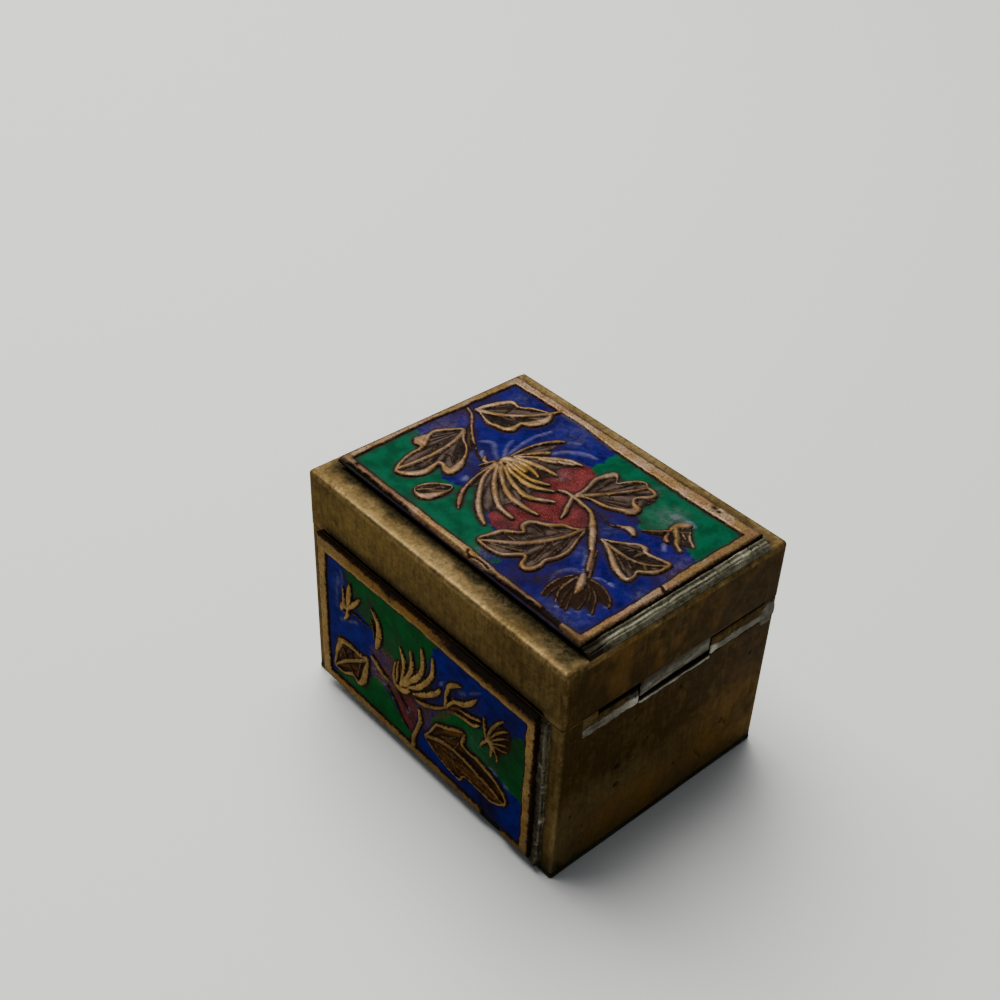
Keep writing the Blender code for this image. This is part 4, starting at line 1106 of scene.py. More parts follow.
def make_back():
    low, high = in_mm(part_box("back_panel"))
    frame_of = (np.array([high[0], low[1], low[2]]), -ALONG, UP, DEEP)
    cast = back_casting((high[0] - low[0], high[2] - low[2]))
    u, v = cast.u, cast.v
    green = np.maximum.reduce([
        zone(u, v, [(1, 30), (22, 30), (24, 22), (14, 21), (8, 17), (1, 18)], 0.4, 71),
        zone(u, v, [(32, 1), (51, 1), (51, 15), (44, 13), (38, 9), (33, 7)], 0.4, 72)])
    red = zone(u, v, [(20, 13), (22, 20), (30, 20), (32, 13), (26, 10)], 0.4, 73)
    veil_and_highlight = dabs(u, v, ((0.3, 45, 24, 4.0), (0.2, 10, 6, 3.0)))
    # Painted shade along the panel's top strip, under the lid's edge, in patches.
    soot_and_shade = 0.6 * ramp(v, 30.2, 31.0) * ramp(layers(u, v, 3.0, 75), -0.2, 0.5)
    set_panel("back", "back_panel", frame_of, cast, 0.955, "box",
              {"green": green, "red": red, "veil_and_highlight": veil_and_highlight}, soot_and_shade, SIDE_METAL, SIDE_GLASS)


make_back()


# Solder under the panels.
# Soft grey solder holds each panel to its wall. It was wiped on hot, so it has run into
# ridges and crumbs that show in the gap over the front panel and down its hinge side.
def old_solder(name, dark, grey, bright):
    """Dull grey solder in streaks and patches, bright where it was filed and where glints are painted on,
    and dark with soot and painted shade in its cracks and hollows.
    """
    paint = Finish(name)
    patch = paint.noise(0.9, 4.0, 0.65)
    speck = paint.noise(0.2, 2.0, 0.7)
    colour = paint.blend(dark, grey, paint.spread(patch, 0.38, 0.62))
    brightened = paint.maths("MULTIPLY", paint.mask("wear_and_glint"), paint.spread(speck, 0.4, 0.56, 0.35, 0.85))
    colour = paint.blend(colour, bright, brightened)
    colour = paint.blend(colour, (0.012, 0.009, 0.006), paint.mask("soot_and_shade"))
    roughness = paint.spread(patch, 0.3, 0.7, 0.48, 0.66)
    grain = paint.bump(speck, 0.02)
    return paint.done(colour, roughness, 0.55, paint.bump(patch, 0.03, grain), gloss=0.05)


def refinish(node, material):
    """Another finish for a CAD node that keeps its own shape."""
    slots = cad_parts[node].data.materials
    slots.clear()
    slots.append(material)


run_solder = old_solder("run_solder", (0.022, 0.017, 0.008), (0.092, 0.074, 0.038), (0.5, 0.46, 0.38))
# The beds under the panels are painted near black, as painted shade in the gaps under the panels.
shaded_bed_solder = old_solder("shaded_bed_solder", (0.006, 0.005, 0.003), (0.026, 0.023, 0.014), (0.1, 0.09, 0.07))
for bed in ("front_solder_bed", "back_solder_bed", "top_solder_bed"):
    refinish(bed, shaded_bed_solder)


def crust(name, frame_of, size, pitch, shape, material, body, slot, wear_and_glint, soot_and_shade=None):
    """A shaped skin over a flat back that is sunk in what it sticks to, darker where it is low unless its
    own darkening is given.
    """
    u, v = np.meshgrid(np.linspace(0, size[0], round(size[0] / pitch) + 1),
                       np.linspace(0, size[1], round(size[1] / pitch) + 1))
    height = shape(u, v)
    thinnest = 0.02
    piece, edge = place_slab(name, frame_of, u, v, np.maximum(height, thinnest), 0.0, material, body, slot)
    darkened = soot_and_shade(u, v) if soot_and_shade else 0.9 * ramp(-height, -0.35 * height.max(), 0.0)
    slab_mask(piece, "wear_and_glint", wear_and_glint(u, v), edge)
    slab_mask(piece, "soot_and_shade", darkened, edge)
    return piece


def make_front_solder():
    """The crumbly strip between the front panel and the hinge-end corner, and lumps under it."""
    panel_low, panel_high = in_mm(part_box("front_panel"))
    wall_y = -wall_high[1]
    sunk = 0.15
    origin = np.array([panel_high[0] - 0.2, wall_y + sunk, panel_low[2] - 1.6])
    frame_of = (origin, ALONG, UP, -DEEP)
    wide, tall = 3.0, wall_high[2] - 0.1 - origin[2]

    def shape(u, v):
        lumps = 1.28 + 0.22 * layers(u, v * 0.6, 0.9, 81) + 0.1 * mottle(u, v, 0.3, 88)
        edge = 1.9 - 0.25 * ramp(v, tall, 0.0) + 0.25 * layers(u * 0, v, 2.2, 82)
        foot = spot(u, v, (1.2, 0.9), 1.3) * 0.5
        strip = (0.62 * lumps + foot) * ramp(edge - u, -0.1, 0.3)
        strip = strip * ramp(v, 0.2, 0.8) * ramp(tall - v, 0.0, 0.5)
        ridge = 0.14 * ramp(np.abs(u - edge + 0.45), 0.3, 0.0)
        hollows = 0.12 * ramp(layers(u, v * 0.5, 1.2, 83), 0.0, 0.4) * ramp(v, 2.0, 4.0)
        return sunk * 0.4 + strip + ridge - hollows

    # Painted glints on the crumbly solder, and a thin bright line along its ridge.
    def wear_and_glint(u, v):
        glints = ramp(layers(u, v * 0.6, 0.8, 84), 0.35, 0.7)
        return 0.8 * glints + 0.12 * ramp(np.abs(u - 1.45), 0.2, 0.05)

    # Painted shade in the crack beside the panel and along the bottom, with grime in patches.
    def soot_and_shade(u, v):
        crack = ramp(u + 0.35 * layers(u, v, 1.5, 86), 0.8, 0.4)
        grimy = 0.8 * ramp(layers(u, v * 0.5, 1.0, 87), -0.25, 0.2) * ramp(u, 1.55, 1.25)
        return np.maximum.reduce([0.95 * crack, grimy, 0.95 * ramp(v, 2.2, 0.8)])

    crust("front_solder_run", frame_of, (wide, tall), 0.14, shape, run_solder, "box", "solder", wear_and_glint, soot_and_shade)


make_front_solder()


# Hinge.
# Three brass tubes on a wire, set in a notch of the hinge end, soldered in place and
# filed flush. The outer two belong to the box and the middle one to the lid.
def plain_brass(name, light, dark):
    paint = Finish(name)
    patch = paint.noise(1.2, 4.0, 0.6)
    speck = paint.noise(0.22, 2.0, 0.6)
    brushed = paint.noise(0.2, 3.0, 0.6, paint.stretched((1.0, 0.1, 1.0)))
    colour = paint.blend(light, dark, paint.spread(patch, 0.35, 0.65))
    colour = paint.blend(colour, (0.02, 0.012, 0.006), paint.spread(speck, 0.55, 0.75, 0.0, 0.6))
    grain = paint.bump(speck, 0.012)
    roughness = paint.spread(patch, 0.3, 0.7, 0.36, 0.55)
    return paint.done(colour, roughness, 1.0, paint.bump(brushed, 0.012, grain))


tube_brass = plain_brass("hinge_brass", (0.03, 0.019, 0.008), (0.012, 0.007, 0.003))
pin_metal = plain_brass("hinge_wire", (0.16, 0.13, 0.1), (0.05, 0.035, 0.025))
for tube in ("hinge_knuckle_front", "hinge_knuckle_middle", "hinge_knuckle_back"):
    refinish(tube, tube_brass)
refinish("hinge_pin", pin_metal)
# Its bright colour is for filed solder and for the painted glints by the notch.
hinge_solder = old_solder("hinge_solder", (0.024, 0.02, 0.009), (0.088, 0.08, 0.05), (0.5, 0.46, 0.38))


def end_face(y_low, z_low, x_back):
    """A frame on the hinge end: along the box's depth, up, and out of the face."""
    return (np.array([x_back, y_low, z_low]), DEEP, UP, ALONG)


def strip_shape(length, tall, thick, seed):
    """A filed strip with ragged edges and lengthwise strokes."""
    rounding = 0.25

    def shape(u, v):
        ragged = 0.22 * layers(u, v, 1.3, seed) + 0.12 * mottle(u * 0.4, v, 0.4, seed + 2)
        rim = np.minimum.reduce([u + 0.1, length - u + 0.1, v, tall - v]) + ragged - 0.1
        strokes = 0.03 * mottle(u * 0.2, v, 0.16, seed + 1)
        return thick * ramp(rim, 0.0, rounding) + strokes * ramp(rim, 0.1, 0.5)
    return shape


def strip_wear_and_glints(y_low, brightness, seed):
    """How bare a strip is: streaky, with painted glints at the two sides of the middle tube's notch and
    just in front of it.
    """
    front_side, back_side = front_tube_high[1], back_tube_low[1]

    def wear_and_glint(u, v):
        y, level = u + y_low, 0 * v
        streaks = 0.5 + 0.5 * mottle(u * 0.18, v, 0.22, seed + 5)
        notch_glints = spot(y, level, (front_side - 0.1, 0), 1.6) + spot(y, level, (back_side + 0.7, 0), 0.8)
        glint_before_notch = 0.6 * spot(y, level, (front_side - 2.0, 0), 2.4)
        brightened = brightness * (0.4 + 0.8 * streaks) + 0.3 * mottle(u, v, 1.6, seed + 6) + glint_before_notch
        return 0.55 * np.maximum(brightened, 0) + notch_glints
    return wear_and_glint


def make_hinge_solder():
    """The strips that hold the tubes, all filed level with the sheet."""
    face = wall_high[0]
    sunk = 0.12
    front_low, front_high = front_tube_low[1], front_tube_high[1]
    back_low, back_high = back_tube_low[1], back_tube_high[1]
    thick = cad_high[0] / MM - face + sunk - 0.02
    # Each strip's ends, its bottom and top, what is cut off its top, how bare it is, and a seed.
    box_strips = (
        ("solder_strip_front", front_low - 0.5, front_high + 0.3, 28.0, 30.1, 0.0, 0.42, 85),
        ("solder_strip_back", back_low - 0.1, back_high + 0.8, 28.4, 30.4, 0.0, 0.26, 87),
        ("solder_line_middle", front_high + 0.3, back_low, 27.6, 28.36, 0.6, 1.3, 88))
    for name, y_low, y_high, z_low, z_high, cut_off, brightness, seed in box_strips:
        crust(name, end_face(y_low, z_low, face - sunk), (y_high - y_low, z_high - z_low), 0.12,
              strip_shape(y_high - y_low, z_high - z_low + cut_off, thick - 0.04, seed),
              hinge_solder, "box", "solder", strip_wear_and_glints(y_low, brightness, seed))

    # The middle one rides with the lid and slopes up towards the back.
    length = middle_tube_high[1] - middle_tube_low[1] - 0.2
    slope = 0.9 / length
    origin = np.array([face - sunk, middle_tube_low[1] + 0.1, 29.2])
    frame_of = (origin, DEEP + slope * UP, UP, ALONG)

    def worn_middle(u, v):
        streaks = (0.17 + 0.25 * mottle(u * 0.18, v, 0.3, 96)) * ramp(v, 2.6, 1.2)
        return streaks + 0.1 * mottle(u, v, 1.6, 97)

    # Darker towards its top.
    def middle_darker_top(u, v):
        return 0.6 * ramp(v + 0.6 * layers(u, v, 1.5, 98), 1.3, 2.6)

    tall, cut_off = 3.25, 0.55
    crust("solder_strip_middle", frame_of, (length, tall), 0.12,
          strip_shape(length, tall + cut_off, thick - 0.04, 110),
          hinge_solder, "lid", "solder", worn_middle, middle_darker_top)

    # Slips of brass fill the notch over the outer tubes. The short one at the corner is the brightest.
    slip_brass = aged_brass("slip_brass")
    z_low = 29.8
    for name, y_low, y_high, z_high, tarnish, seed in (
            ("brass_slip_front", front_low - 0.4, front_high - 1.6, 31.15, 0.7, 112),
            ("brass_slip_corner", front_low - 0.4, front_low + 2.6, 32.0, 0.45, 113),
            ("brass_slip_back", back_low, back_high + 0.3, 31.85, 0.7, 114)):
        size = (y_high - y_low, z_high - z_low)
        slip = crust(name, end_face(y_low, z_low, face - sunk), size, 0.2,
                     strip_shape(*size, sunk - 0.01, seed), slip_brass, "box", "brass", lambda u, v: 0 * u)
        give_mask(slip, "tarnish", np.full(len(slip.data.vertices), tarnish))

    # A lump of solder closes the notch at the back.
    def lump(u, v):
        out = np.hypot((u - 1.9) / 2.1, (v - 2.1) / 2.5) + 0.75 * layers(u, v, 1.4, 115)
        return (thick - 0.03 + 0.02 * layers(u, v, 0.6, 116)) * ramp(out, 1.0, 0.8)

    crust("solder_lump_back", end_face(back_high - 0.9, 27.5, face - sunk), (3.8, 4.4), 0.14,
          lump, hinge_solder, "box", "solder", lambda u, v: 0.05 + 0.15 * layers(u, v, 0.9, 117),
          lambda u, v: 0.1 + 0.4 * layers(u, v, 1.4, 118))


make_hinge_solder()


# Lid.
# A shallow cap of the same sheet, its upper edges rounded by filing. Cross strokes of the
# file brighten the rim, and a dark band lies along the panel: old flux stain, with the panel's shadow
# painted on nearest it.
lid_low, lid_high = in_mm(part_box("lid_cap"))
lid_inside = lid_high[2] - wall_thickness


def make_lid():
    lid_notch = (middle_tube_low[1] - 0.2, middle_tube_high[1] + 0.2)
    outline = Outline(lid_high[0], lid_high[1], 0.7, 0.45, 0.35, lid_notch)
    shape = outline.turn(0.0)
    # The lips over the front and back panels are filed back to clear them.
    left, right = (corner[0] for corner in in_mm(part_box("front_panel")))
    over_panel = ramp(shape[:, 0], left - 0.5, left) * ramp(shape[:, 0], right + 0.5, right)
    filed_back = 0.68
    cleared = filed_back * ramp(np.abs(shape[:, 1]), lid_high[1] - 1.3, lid_high[1] - 0.1) * over_panel
    lip = lid_low[2] + cleared
    rounding = 0.7
    rows = [level_row(outline, wall_thickness, height)
            for height in np.linspace(lid_inside, lid_low[2] + 1.0, 5)]
    rows.append(level_row(outline, wall_thickness, lip))
    inner_rows = len(rows)
    rows.append(level_row(outline, 0.1, lip))
    shoulder = lid_high[2] - rounding
    rows += [level_row(outline, 0.0, lip + 0.1 + share * (shoulder - lip - 0.1))
             for share in np.linspace(0, 1, 22)]
    for angle in np.linspace(0, math.pi / 2, 7)[1:]:
        inset = rounding * (1 - math.cos(angle))
        rows.append(level_row(outline, inset, shoulder + rounding * math.sin(angle)))
    margin = 7.0
    rows += [level_row(outline, inset, lid_high[2]) for inset in np.arange(rounding + 0.3, margin, 0.3)]
    points, faces = loft(rows)
    outside = np.arange(len(points)) >= (inner_rows + 1) * len(shape)
    x, y, z = points.T
    half = lid_high[:2]
    turned = around_box(points, half)
    edge_in = np.minimum(half[0] - np.abs(x), half[1] - np.abs(y))
    wear = np.where(outside, 0.02 + 0.015 * layers(turned, z, 6.0, 101), 0.0)
    nicks = 0.1 * ramp(mottle(turned, z * 0.3, 0.9, 102), 0.72, 0.95)
    nicks = nicks * ramp(edge_in, 0.8, 0.2) * ramp(z, shoulder - 0.2, shoulder + 0.3)
    inward = wear + np.where(outside, nicks, 0.0)
    points[:, 0] -= np.sign(x) * inward * (half[0] - np.abs(x) < 0.75)
    points[:, 1] -= np.sign(y) * inward * (half[1] - np.abs(y) < 0.75)
    points[:, 2] -= inward * (z > shoulder)
    lid = new_piece("lid_sheet", points, faces, aged_brass("lid_brass"), "lid", "brass")
    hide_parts("lid_cap")

    on_top = z > shoulder - 0.05
    strokes = mottle(turned, edge_in * 0.12, 0.33, 103)
    rim_wide = 2.7 + 1.0 * layers(turned, z * 0, 5.0, 104) - 0.9 * ramp(x, 4.0, 14.0)
    blotch = 0.66 - 0.06 * ramp(x, 4.0, 14.0) + 0.5 * layers(x, y, 2.2, 108) + 0.22 * strokes
    rubbed = on_top * ramp(edge_in + 0.5 * strokes, rim_wide, 0.5) * blotch
    front_edge = ramp(-y, half[1] - 1.5, half[1] - 0.3) * ramp(z, shoulder - 0.1, shoulder + 0.4)
    rubbed = np.maximum(rubbed, 0.85 * front_edge * (0.85 + 0.3 * strokes))
    upright = ramp(np.maximum(half[0] - np.abs(x), half[1] - np.abs(y)), 0.9, 0.3) * 0.6
    lip_line = 0.45 * ramp(z, lid_low[2] + 1.3, lid_low[2] + 0.7) * ramp(-y, half[1] - 0.5, half[1] - 0.1)
    wear_and_glint = np.maximum.reduce([rubbed, upright * (0.7 + 0.4 * strokes), lip_line])
    give_mask(lid, "wear_and_glint", outside * wear_and_glint)
    give_mask(lid, "tarnish", side_tarnish(points, half) + 0.05 * on_top + np.where(outside, 0, 0.3))
    panel_low, panel_high = in_mm(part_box("top_panel"))
    # The dark band round the panel is old flux stain, with the panel's shadow painted on nearest its edge.
    gap = np.maximum.reduce([panel_low[0] - x, x - panel_high[0], panel_low[1] - y, y - panel_high[1]])
    dark_band_width = 1.9 + 1.3 * ramp(x, 2.0, 12.0) * ramp(-y, 10.0, 15.0)
    dark_band_width += 1.6 * ramp(x, 21.0, 28.0) * ramp(-y, 12.0, 17.0)
    dark_band_width += 0.9 * ramp(-x, 25.0, 28.0) * ramp(-y, 6.0, 14.0)
    stain_and_shade = on_top * ramp(gap + 0.9 * layers(x, y, 1.8, 105), dark_band_width, 0.4) * 0.97
    flux = ramp(layers(turned, z, 3.0, 106), 0.25, 0.7) * 0.35
    give_mask(lid, "stain_and_shade", outside * np.maximum(stain_and_shade, on_top * (flux + 0.16 * ramp(y, 16.0, 20.0))))
    rusty = ramp(x, half[0] - 1, half[0]) * ramp(layers(y, z, 4.0, 107), 0.0, 0.6)
    give_mask(lid, "rust_and_painted_light", outside * 0.25 * rusty)
    smooth_faces(lid)


make_lid()


# Lid panel.
# The best of the castings: a chrysanthemum among leaves and buds. Its front border was
# bent and chipped when it was set, and solder stands in ledges at its hinge end.
TOP_METAL = {
    "gold": (0.165, 0.103, 0.04), "pale": (0.225, 0.155, 0.096), "copper": (0.2, 0.088, 0.058),
    "leaf_high": (0.074, 0.05, 0.041), "rub_low": 0.18}
TOP_GLASS = {
    "blue_low": (0.0008, 0.0006, 0.029), "blue_high": (0.0054, 0.005, 0.09),
    "green_low": (0.0002, 0.03, 0.012), "green_high": (0.0012, 0.066, 0.03)}


def top_casting(size):
    border = ([(0, 1.7), (5, 1.5), (15, 1.2), (25, 1.5), (36, 1.8)],
              [(0, 1.8), (20, 1.8), (32, 1.9), (38, 1.65), (46, 1.6), (50, 1.4), (56, 1.7)],
              [(0, 1.5), (15, 1.6), (25, 1.9), (38, 1.7)],
              [(0, 2.0), (18, 1.7), (26, 2.4), (45, 2.6), (56, 2.2)])
    cast = Casting(size, border, 0.16, 120)
    # Upper left leaf.
    cast.leaf(
        [(3.6, 26.1, 0.7), (3.9, 28.2, 1.1), (4.7, 30.4, 1.2), (5.6, 31.9, 1.0), (7.2, 31.8, 0.5),
         (8.2, 32.3, 0.6), (9.1, 33.2, 0.7), (11.2, 34.4, 0.3), (12.4, 34.5, 0.6), (13.0, 33.2, 1.3),
         (12.9, 31.8, 1.7), (12.3, 30.2, 1.6), (11.2, 28.9, 0.8), (11.3, 27.7, 1.0), (11.3, 26.6, 1.4),
         (10.4, 25.7, 1.1), (9.0, 25.3, 0.8), (7.8, 24.9, 0.8), (6.0, 25.3, 0.5), (4.6, 25.7, 0.5)],
        [(3.5, 25.9, 0.9), (5.5, 26.8, 1.0), (7.7, 28.4, 1.0), (9.5, 30.3, 0.9), (11.2, 32.8, 0.8),
         (12.2, 34.8, 0.7), (12.8, 36.6, 0.9)],
        [[(6.6, 27.8, 0.5), (7.0, 29.6, 0.5), (7.3, 31.2, 0.4)], [(8.6, 28.9, 0.5), (10.4, 29.0, 0.4)]],
        gilt=0.9)
    # Lower left leaf, with a curled lobe at its left.
    cast.leaf(
        [(6.6, 20.5, 0.5), (5.3, 18.7, 0.7), (4.3, 17.2, 0.9), (4.0, 16.2, 0.9), (4.3, 15.1, 0.8),
         (5.4, 13.4, 0.9), (6.4, 11.9, 0.6), (6.4, 10.2, 0.7), (6.8, 8.3, 0.7), (7.7, 6.1, 0.7),
         (8.7, 5.0, 0.8), (10.0, 5.7, 1.3), (11.0, 7.0, 1.5), (11.5, 8.5, 1.5), (11.3, 10.0, 1.2),
         (11.1, 11.7, 0.7), (12.4, 11.6, 1.0), (13.8, 11.3, 1.5), (14.0, 12.6, 1.7), (13.5, 14.0, 1.3),
         (12.8, 15.2, 0.8), (11.9, 16.5, 0.6), (10.4, 17.8, 0.6), (8.6, 18.7, 0.5)],
        [(6.7, 20.4, 0.7), (7.7, 18.4, 0.9), (8.3, 16.5, 0.9), (8.7, 14.0, 1.0), (8.8, 11.5, 1.0),
         (8.7, 9.0, 1.0), (8.5, 7.0, 0.9), (8.3, 5.3, 0.6)],
        [[(9.2, 13.4, 0.4), (10.8, 14.2, 0.4), (12.4, 13.4, 0.4)], [(7.9, 13.0, 0.4), (6.9, 14.6, 0.4)],
         [(9.2, 9.6, 0.4), (10.4, 10.6, 0.4)]], gilt=0.85, copper=0.3)
    cast.ridge([(4.3, 15.4, 0.8), (4.2, 14.2, 1.2), (4.3, 12.9, 2.2), (5.0, 12.7, 1.7), (6.0, 12.3, 0.9),
                (6.4, 11.4, 0.8)], gilt=0.85, copper=0.5)
    # Upper middle leaf.
    cast.leaf(
        [(30.9, 22.7, 0.8), (30.9, 24.2, 0.8), (30.5, 25.8, 0.8), (29.9, 27.5, 0.9), (30.0, 29.0, 1.0),
         (30.4, 30.3, 1.3), (30.9, 31.2, 1.1), (31.7, 30.8, 0.4), (32.6, 29.8, 0.4), (33.4, 31.0, 0.6),
         (34.2, 32.4, 0.6), (35.4, 33.3, 0.6), (36.4, 32.8, 0.6), (37.4, 32.8, 0.6), (38.5, 32.3, 0.7),
         (38.4, 31.2, 0.8), (37.6, 30.1, 0.7), (37.2, 29.0, 0.7), (38.0, 28.1, 0.8), (39.1, 27.7, 1.3),
         (39.2, 26.5, 1.7), (37.9, 25.6, 1.0), (36.4, 24.6, 0.8), (35.0, 24.1, 0.9), (33.2, 23.8, 0.6),
         (31.9, 23.2, 0.6)],
        [(31.5, 23.4, 1.0), (33.2, 26.0, 0.9), (34.6, 28.4, 0.8), (35.7, 30.5, 0.7), (36.5, 32.6, 0.6)],
        [[(33.2, 26.8, 0.4), (33.6, 29.4, 0.4), (34.1, 31.6, 0.5)],
         [(34.9, 29.2, 0.4), (35.1, 31.0, 0.4), (35.2, 32.6, 0.4)],
         [(31.9, 25.0, 0.4), (31.8, 27.4, 0.4), (31.4, 29.4, 0.4)],
         [(34.0, 26.6, 0.4), (36.0, 26.2, 0.4), (37.8, 26.8, 0.4)]], gilt=0.85, copper=0.25)
    cast.field([(37.9, 31.8), (39.4, 31.6), (39.6, 30.0), (39.0, 28.4), (37.8, 28.6), (37.8, 30.0)],
               (38, 30), low=0.64)
    # Lower middle leaf.
    cast.leaf(
        [(37.9, 17.8, 0.4), (36.6, 16.8, 0.6), (35.0, 16.1, 0.8), (34.1, 15.0, 0.9), (33.0, 14.0, 1.0),
         (31.7, 13.3, 1.0), (31.1, 12.2, 1.0), (31.4, 11.1, 0.9), (32.5, 10.3, 0.7), (31.3, 9.1, 0.8),
         (30.3, 8.2, 0.9), (29.9, 7.0, 0.9), (29.6, 5.6, 0.8), (29.3, 4.2, 0.6), (30.5, 3.8, 0.7),
         (33.0, 4.0, 0.8), (34.6, 4.8, 0.9), (35.7, 6.2, 0.9), (36.6, 7.0, 0.6), (37.2, 6.3, 0.7),
         (37.7, 5.3, 0.9), (38.6, 5.0, 1.2), (39.4, 5.8, 1.2), (39.6, 7.2, 0.9), (39.3, 8.5, 0.8),
         (39.8, 9.9, 0.8), (40.0, 11.4, 0.8), (39.8, 12.8, 0.8), (39.3, 14.2, 0.6), (38.5, 16.2, 0.5)],
        [(37.7, 17.9, 0.7), (37.4, 16.0, 0.8), (37.0, 13.8, 0.9), (36.2, 11.8, 1.0), (35.2, 10.0, 1.0),
         (34.0, 8.2, 1.0), (32.4, 6.5, 0.9), (31.0, 5.2, 0.8), (29.9, 4.2, 0.6)],
        [[(37.0, 14.6, 0.4), (35.2, 14.4, 0.4), (34.2, 14.2, 0.4)],
         [(36.4, 12.4, 0.4), (34.4, 12.6, 0.5), (32.2, 12.6, 0.4)],
         [(35.0, 9.8, 0.4), (33.2, 10.2, 0.4)],
         [(33.8, 8.2, 0.5), (32.4, 8.1, 0.5), (31.0, 8.0, 0.4)],
         [(31.4, 4.9, 0.5), (33.4, 5.9, 0.6), (35.0, 7.0, 0.5), (36.0, 7.8, 0.4)],
         [(36.8, 13.0, 0.4), (37.6, 10.0, 0.4), (38.4, 7.2, 0.5)],
         [(37.4, 15.6, 0.4), (38.4, 13.2, 0.4), (38.9, 10.6, 0.4)],
         [(36.6, 11.0, 0.4), (37.2, 8.8, 0.4), (37.6, 7.0, 0.4)]], gilt=0.8, copper=0.35)
    # Right leaf.
    cast.leaf(
        [(40.9, 18.2, 0.4), (42.7, 19.3, 0.6), (44.3, 20.7, 0.6), (45.4, 21.6, 0.7), (46.5, 21.8, 1.0),
         (47.4, 21.1, 0.8), (49.3, 21.5, 0.6), (51.3, 22.0, 0.7), (51.6, 20.9, 0.7), (51.4, 19.4, 0.9),
         (50.4, 17.9, 0.9), (49.5, 17.1, 0.6), (49.9, 16.2, 0.6), (50.0, 15.2, 0.7), (49.5, 14.6, 0.9),
         (47.5, 15.1, 1.1), (45.5, 16.1, 1.1), (43.5, 17.3, 0.9), (42.0, 17.9, 0.5)],
        [(41.0, 18.2, 0.5), (44.0, 18.1, 0.7), (46.5, 18.2, 0.6), (48.5, 18.8, 0.6), (50.2, 20.0, 0.6),
         (51.3, 21.3, 0.5)],
        [[(46.9, 19.1, 0.5), (47.0, 20.0, 0.8), (47.2, 21.0, 1.0)], [(45.3, 19.4, 0.4), (46.1, 20.7, 0.5)],
         [(44.6, 17.6, 0.4), (46.8, 16.6, 0.5), (48.6, 15.6, 0.4)], [(46.4, 18.0, 0.4), (48.4, 17.0, 0.4)],
         [(48.8, 19.2, 0.5), (50.0, 18.4, 0.8)]], gilt=0.85, copper=0.15)
    # The small leaf by the flower's foot.
    cast.leaf(
        [(17.0, 9.3, 0.3), (15.6, 8.3, 0.5), (14.5, 7.0, 0.5), (13.9, 5.8, 0.5), (13.9, 4.6, 0.5),
         (14.7, 3.9, 0.6), (15.8, 4.0, 1.1), (16.7, 4.8, 1.6), (17.2, 5.9, 1.4), (17.6, 7.2, 0.8),
         (17.6, 8.6, 0.4)],
        [(14.4, 4.6, 0.4), (15.6, 6.4, 0.4), (16.6, 8.2, 0.3)], gilt=0.8, copper=0.45)
    # The flower's heart and its petals; the enamel runs over the ones at its left.
    cast.field(
        [(16.2, 21.0), (16.6, 23.6), (17.6, 26.6), (19.2, 29.4), (20.0, 27.0), (21.8, 26.4), (25.4, 28.0),
         (24.0, 25.6), (25.0, 23.4), (24.4, 21.4), (26.4, 20.0), (25.8, 17.6), (26.4, 15.6), (25.6, 12.6),
         (25.2, 9.6), (21.6, 11.0), (19.4, 12.6), (18.6, 11.0), (17.4, 13.6), (16.2, 16.4)],
        (16.8, 20.2), gilt=0.1, low=0.6, copper=0.4)
    for petal, film in (
            ([(16.2, 20.8, 0.8), (15.0, 22.2, 0.8), (14.2, 23.5, 0.8), (13.7, 24.8, 0.6)], 0.55),
            ([(16.2, 21.6, 0.7), (15.8, 23.5, 0.8), (15.3, 26.0, 0.9), (15.3, 28.5, 0.9),
              (15.8, 31.4, 0.7)], 0.55),
            ([(20.4, 27.3, 0.8), (21.2, 29.0, 1.1), (22.5, 30.4, 1.3), (24.3, 31.5, 1.2),
              (25.8, 31.9, 0.7)], 0.55),
            ([(19.2, 30.6, 0.8), (20.2, 31.8, 0.9), (21.4, 32.7, 0.7)], 0.35),
            ([(10.6, 20.6, 0.9), (12.0, 21.8, 1.2), (13.2, 21.3, 1.2), (14.6, 20.3, 1.0),
              (16.2, 19.5, 0.7)], 0.4),
            ([(12.8, 19.0, 0.7), (13.4, 18.2, 1.0), (14.2, 17.8, 0.9)], 0.8),
            ([(16.4, 12.8, 0.8), (16.8, 11.8, 0.8)], 0.9)):
        cast.sunk(petal, film)
    cast.ridges([
        [(16.8, 21.8, 0.5), (16.8, 24.4, 0.6), (17.2, 27.0, 0.7), (18.2, 29.5, 0.9), (19.4, 31.0, 0.7)],
        [(17.3, 22.0, 0.7), (18.4, 24.4, 0.9), (19.2, 25.9, 1.1), (20.1, 27.0, 0.7)],
        [(16.3, 18.7, 0.5), (15.9, 17.2, 0.6), (15.5, 16.0, 0.4)],
        [(14.4, 18.3, 0.5), (15.2, 17.5, 0.8), (16.0, 17.7, 0.5)]], gilt=0.7, copper=0.3, crest=0.88)
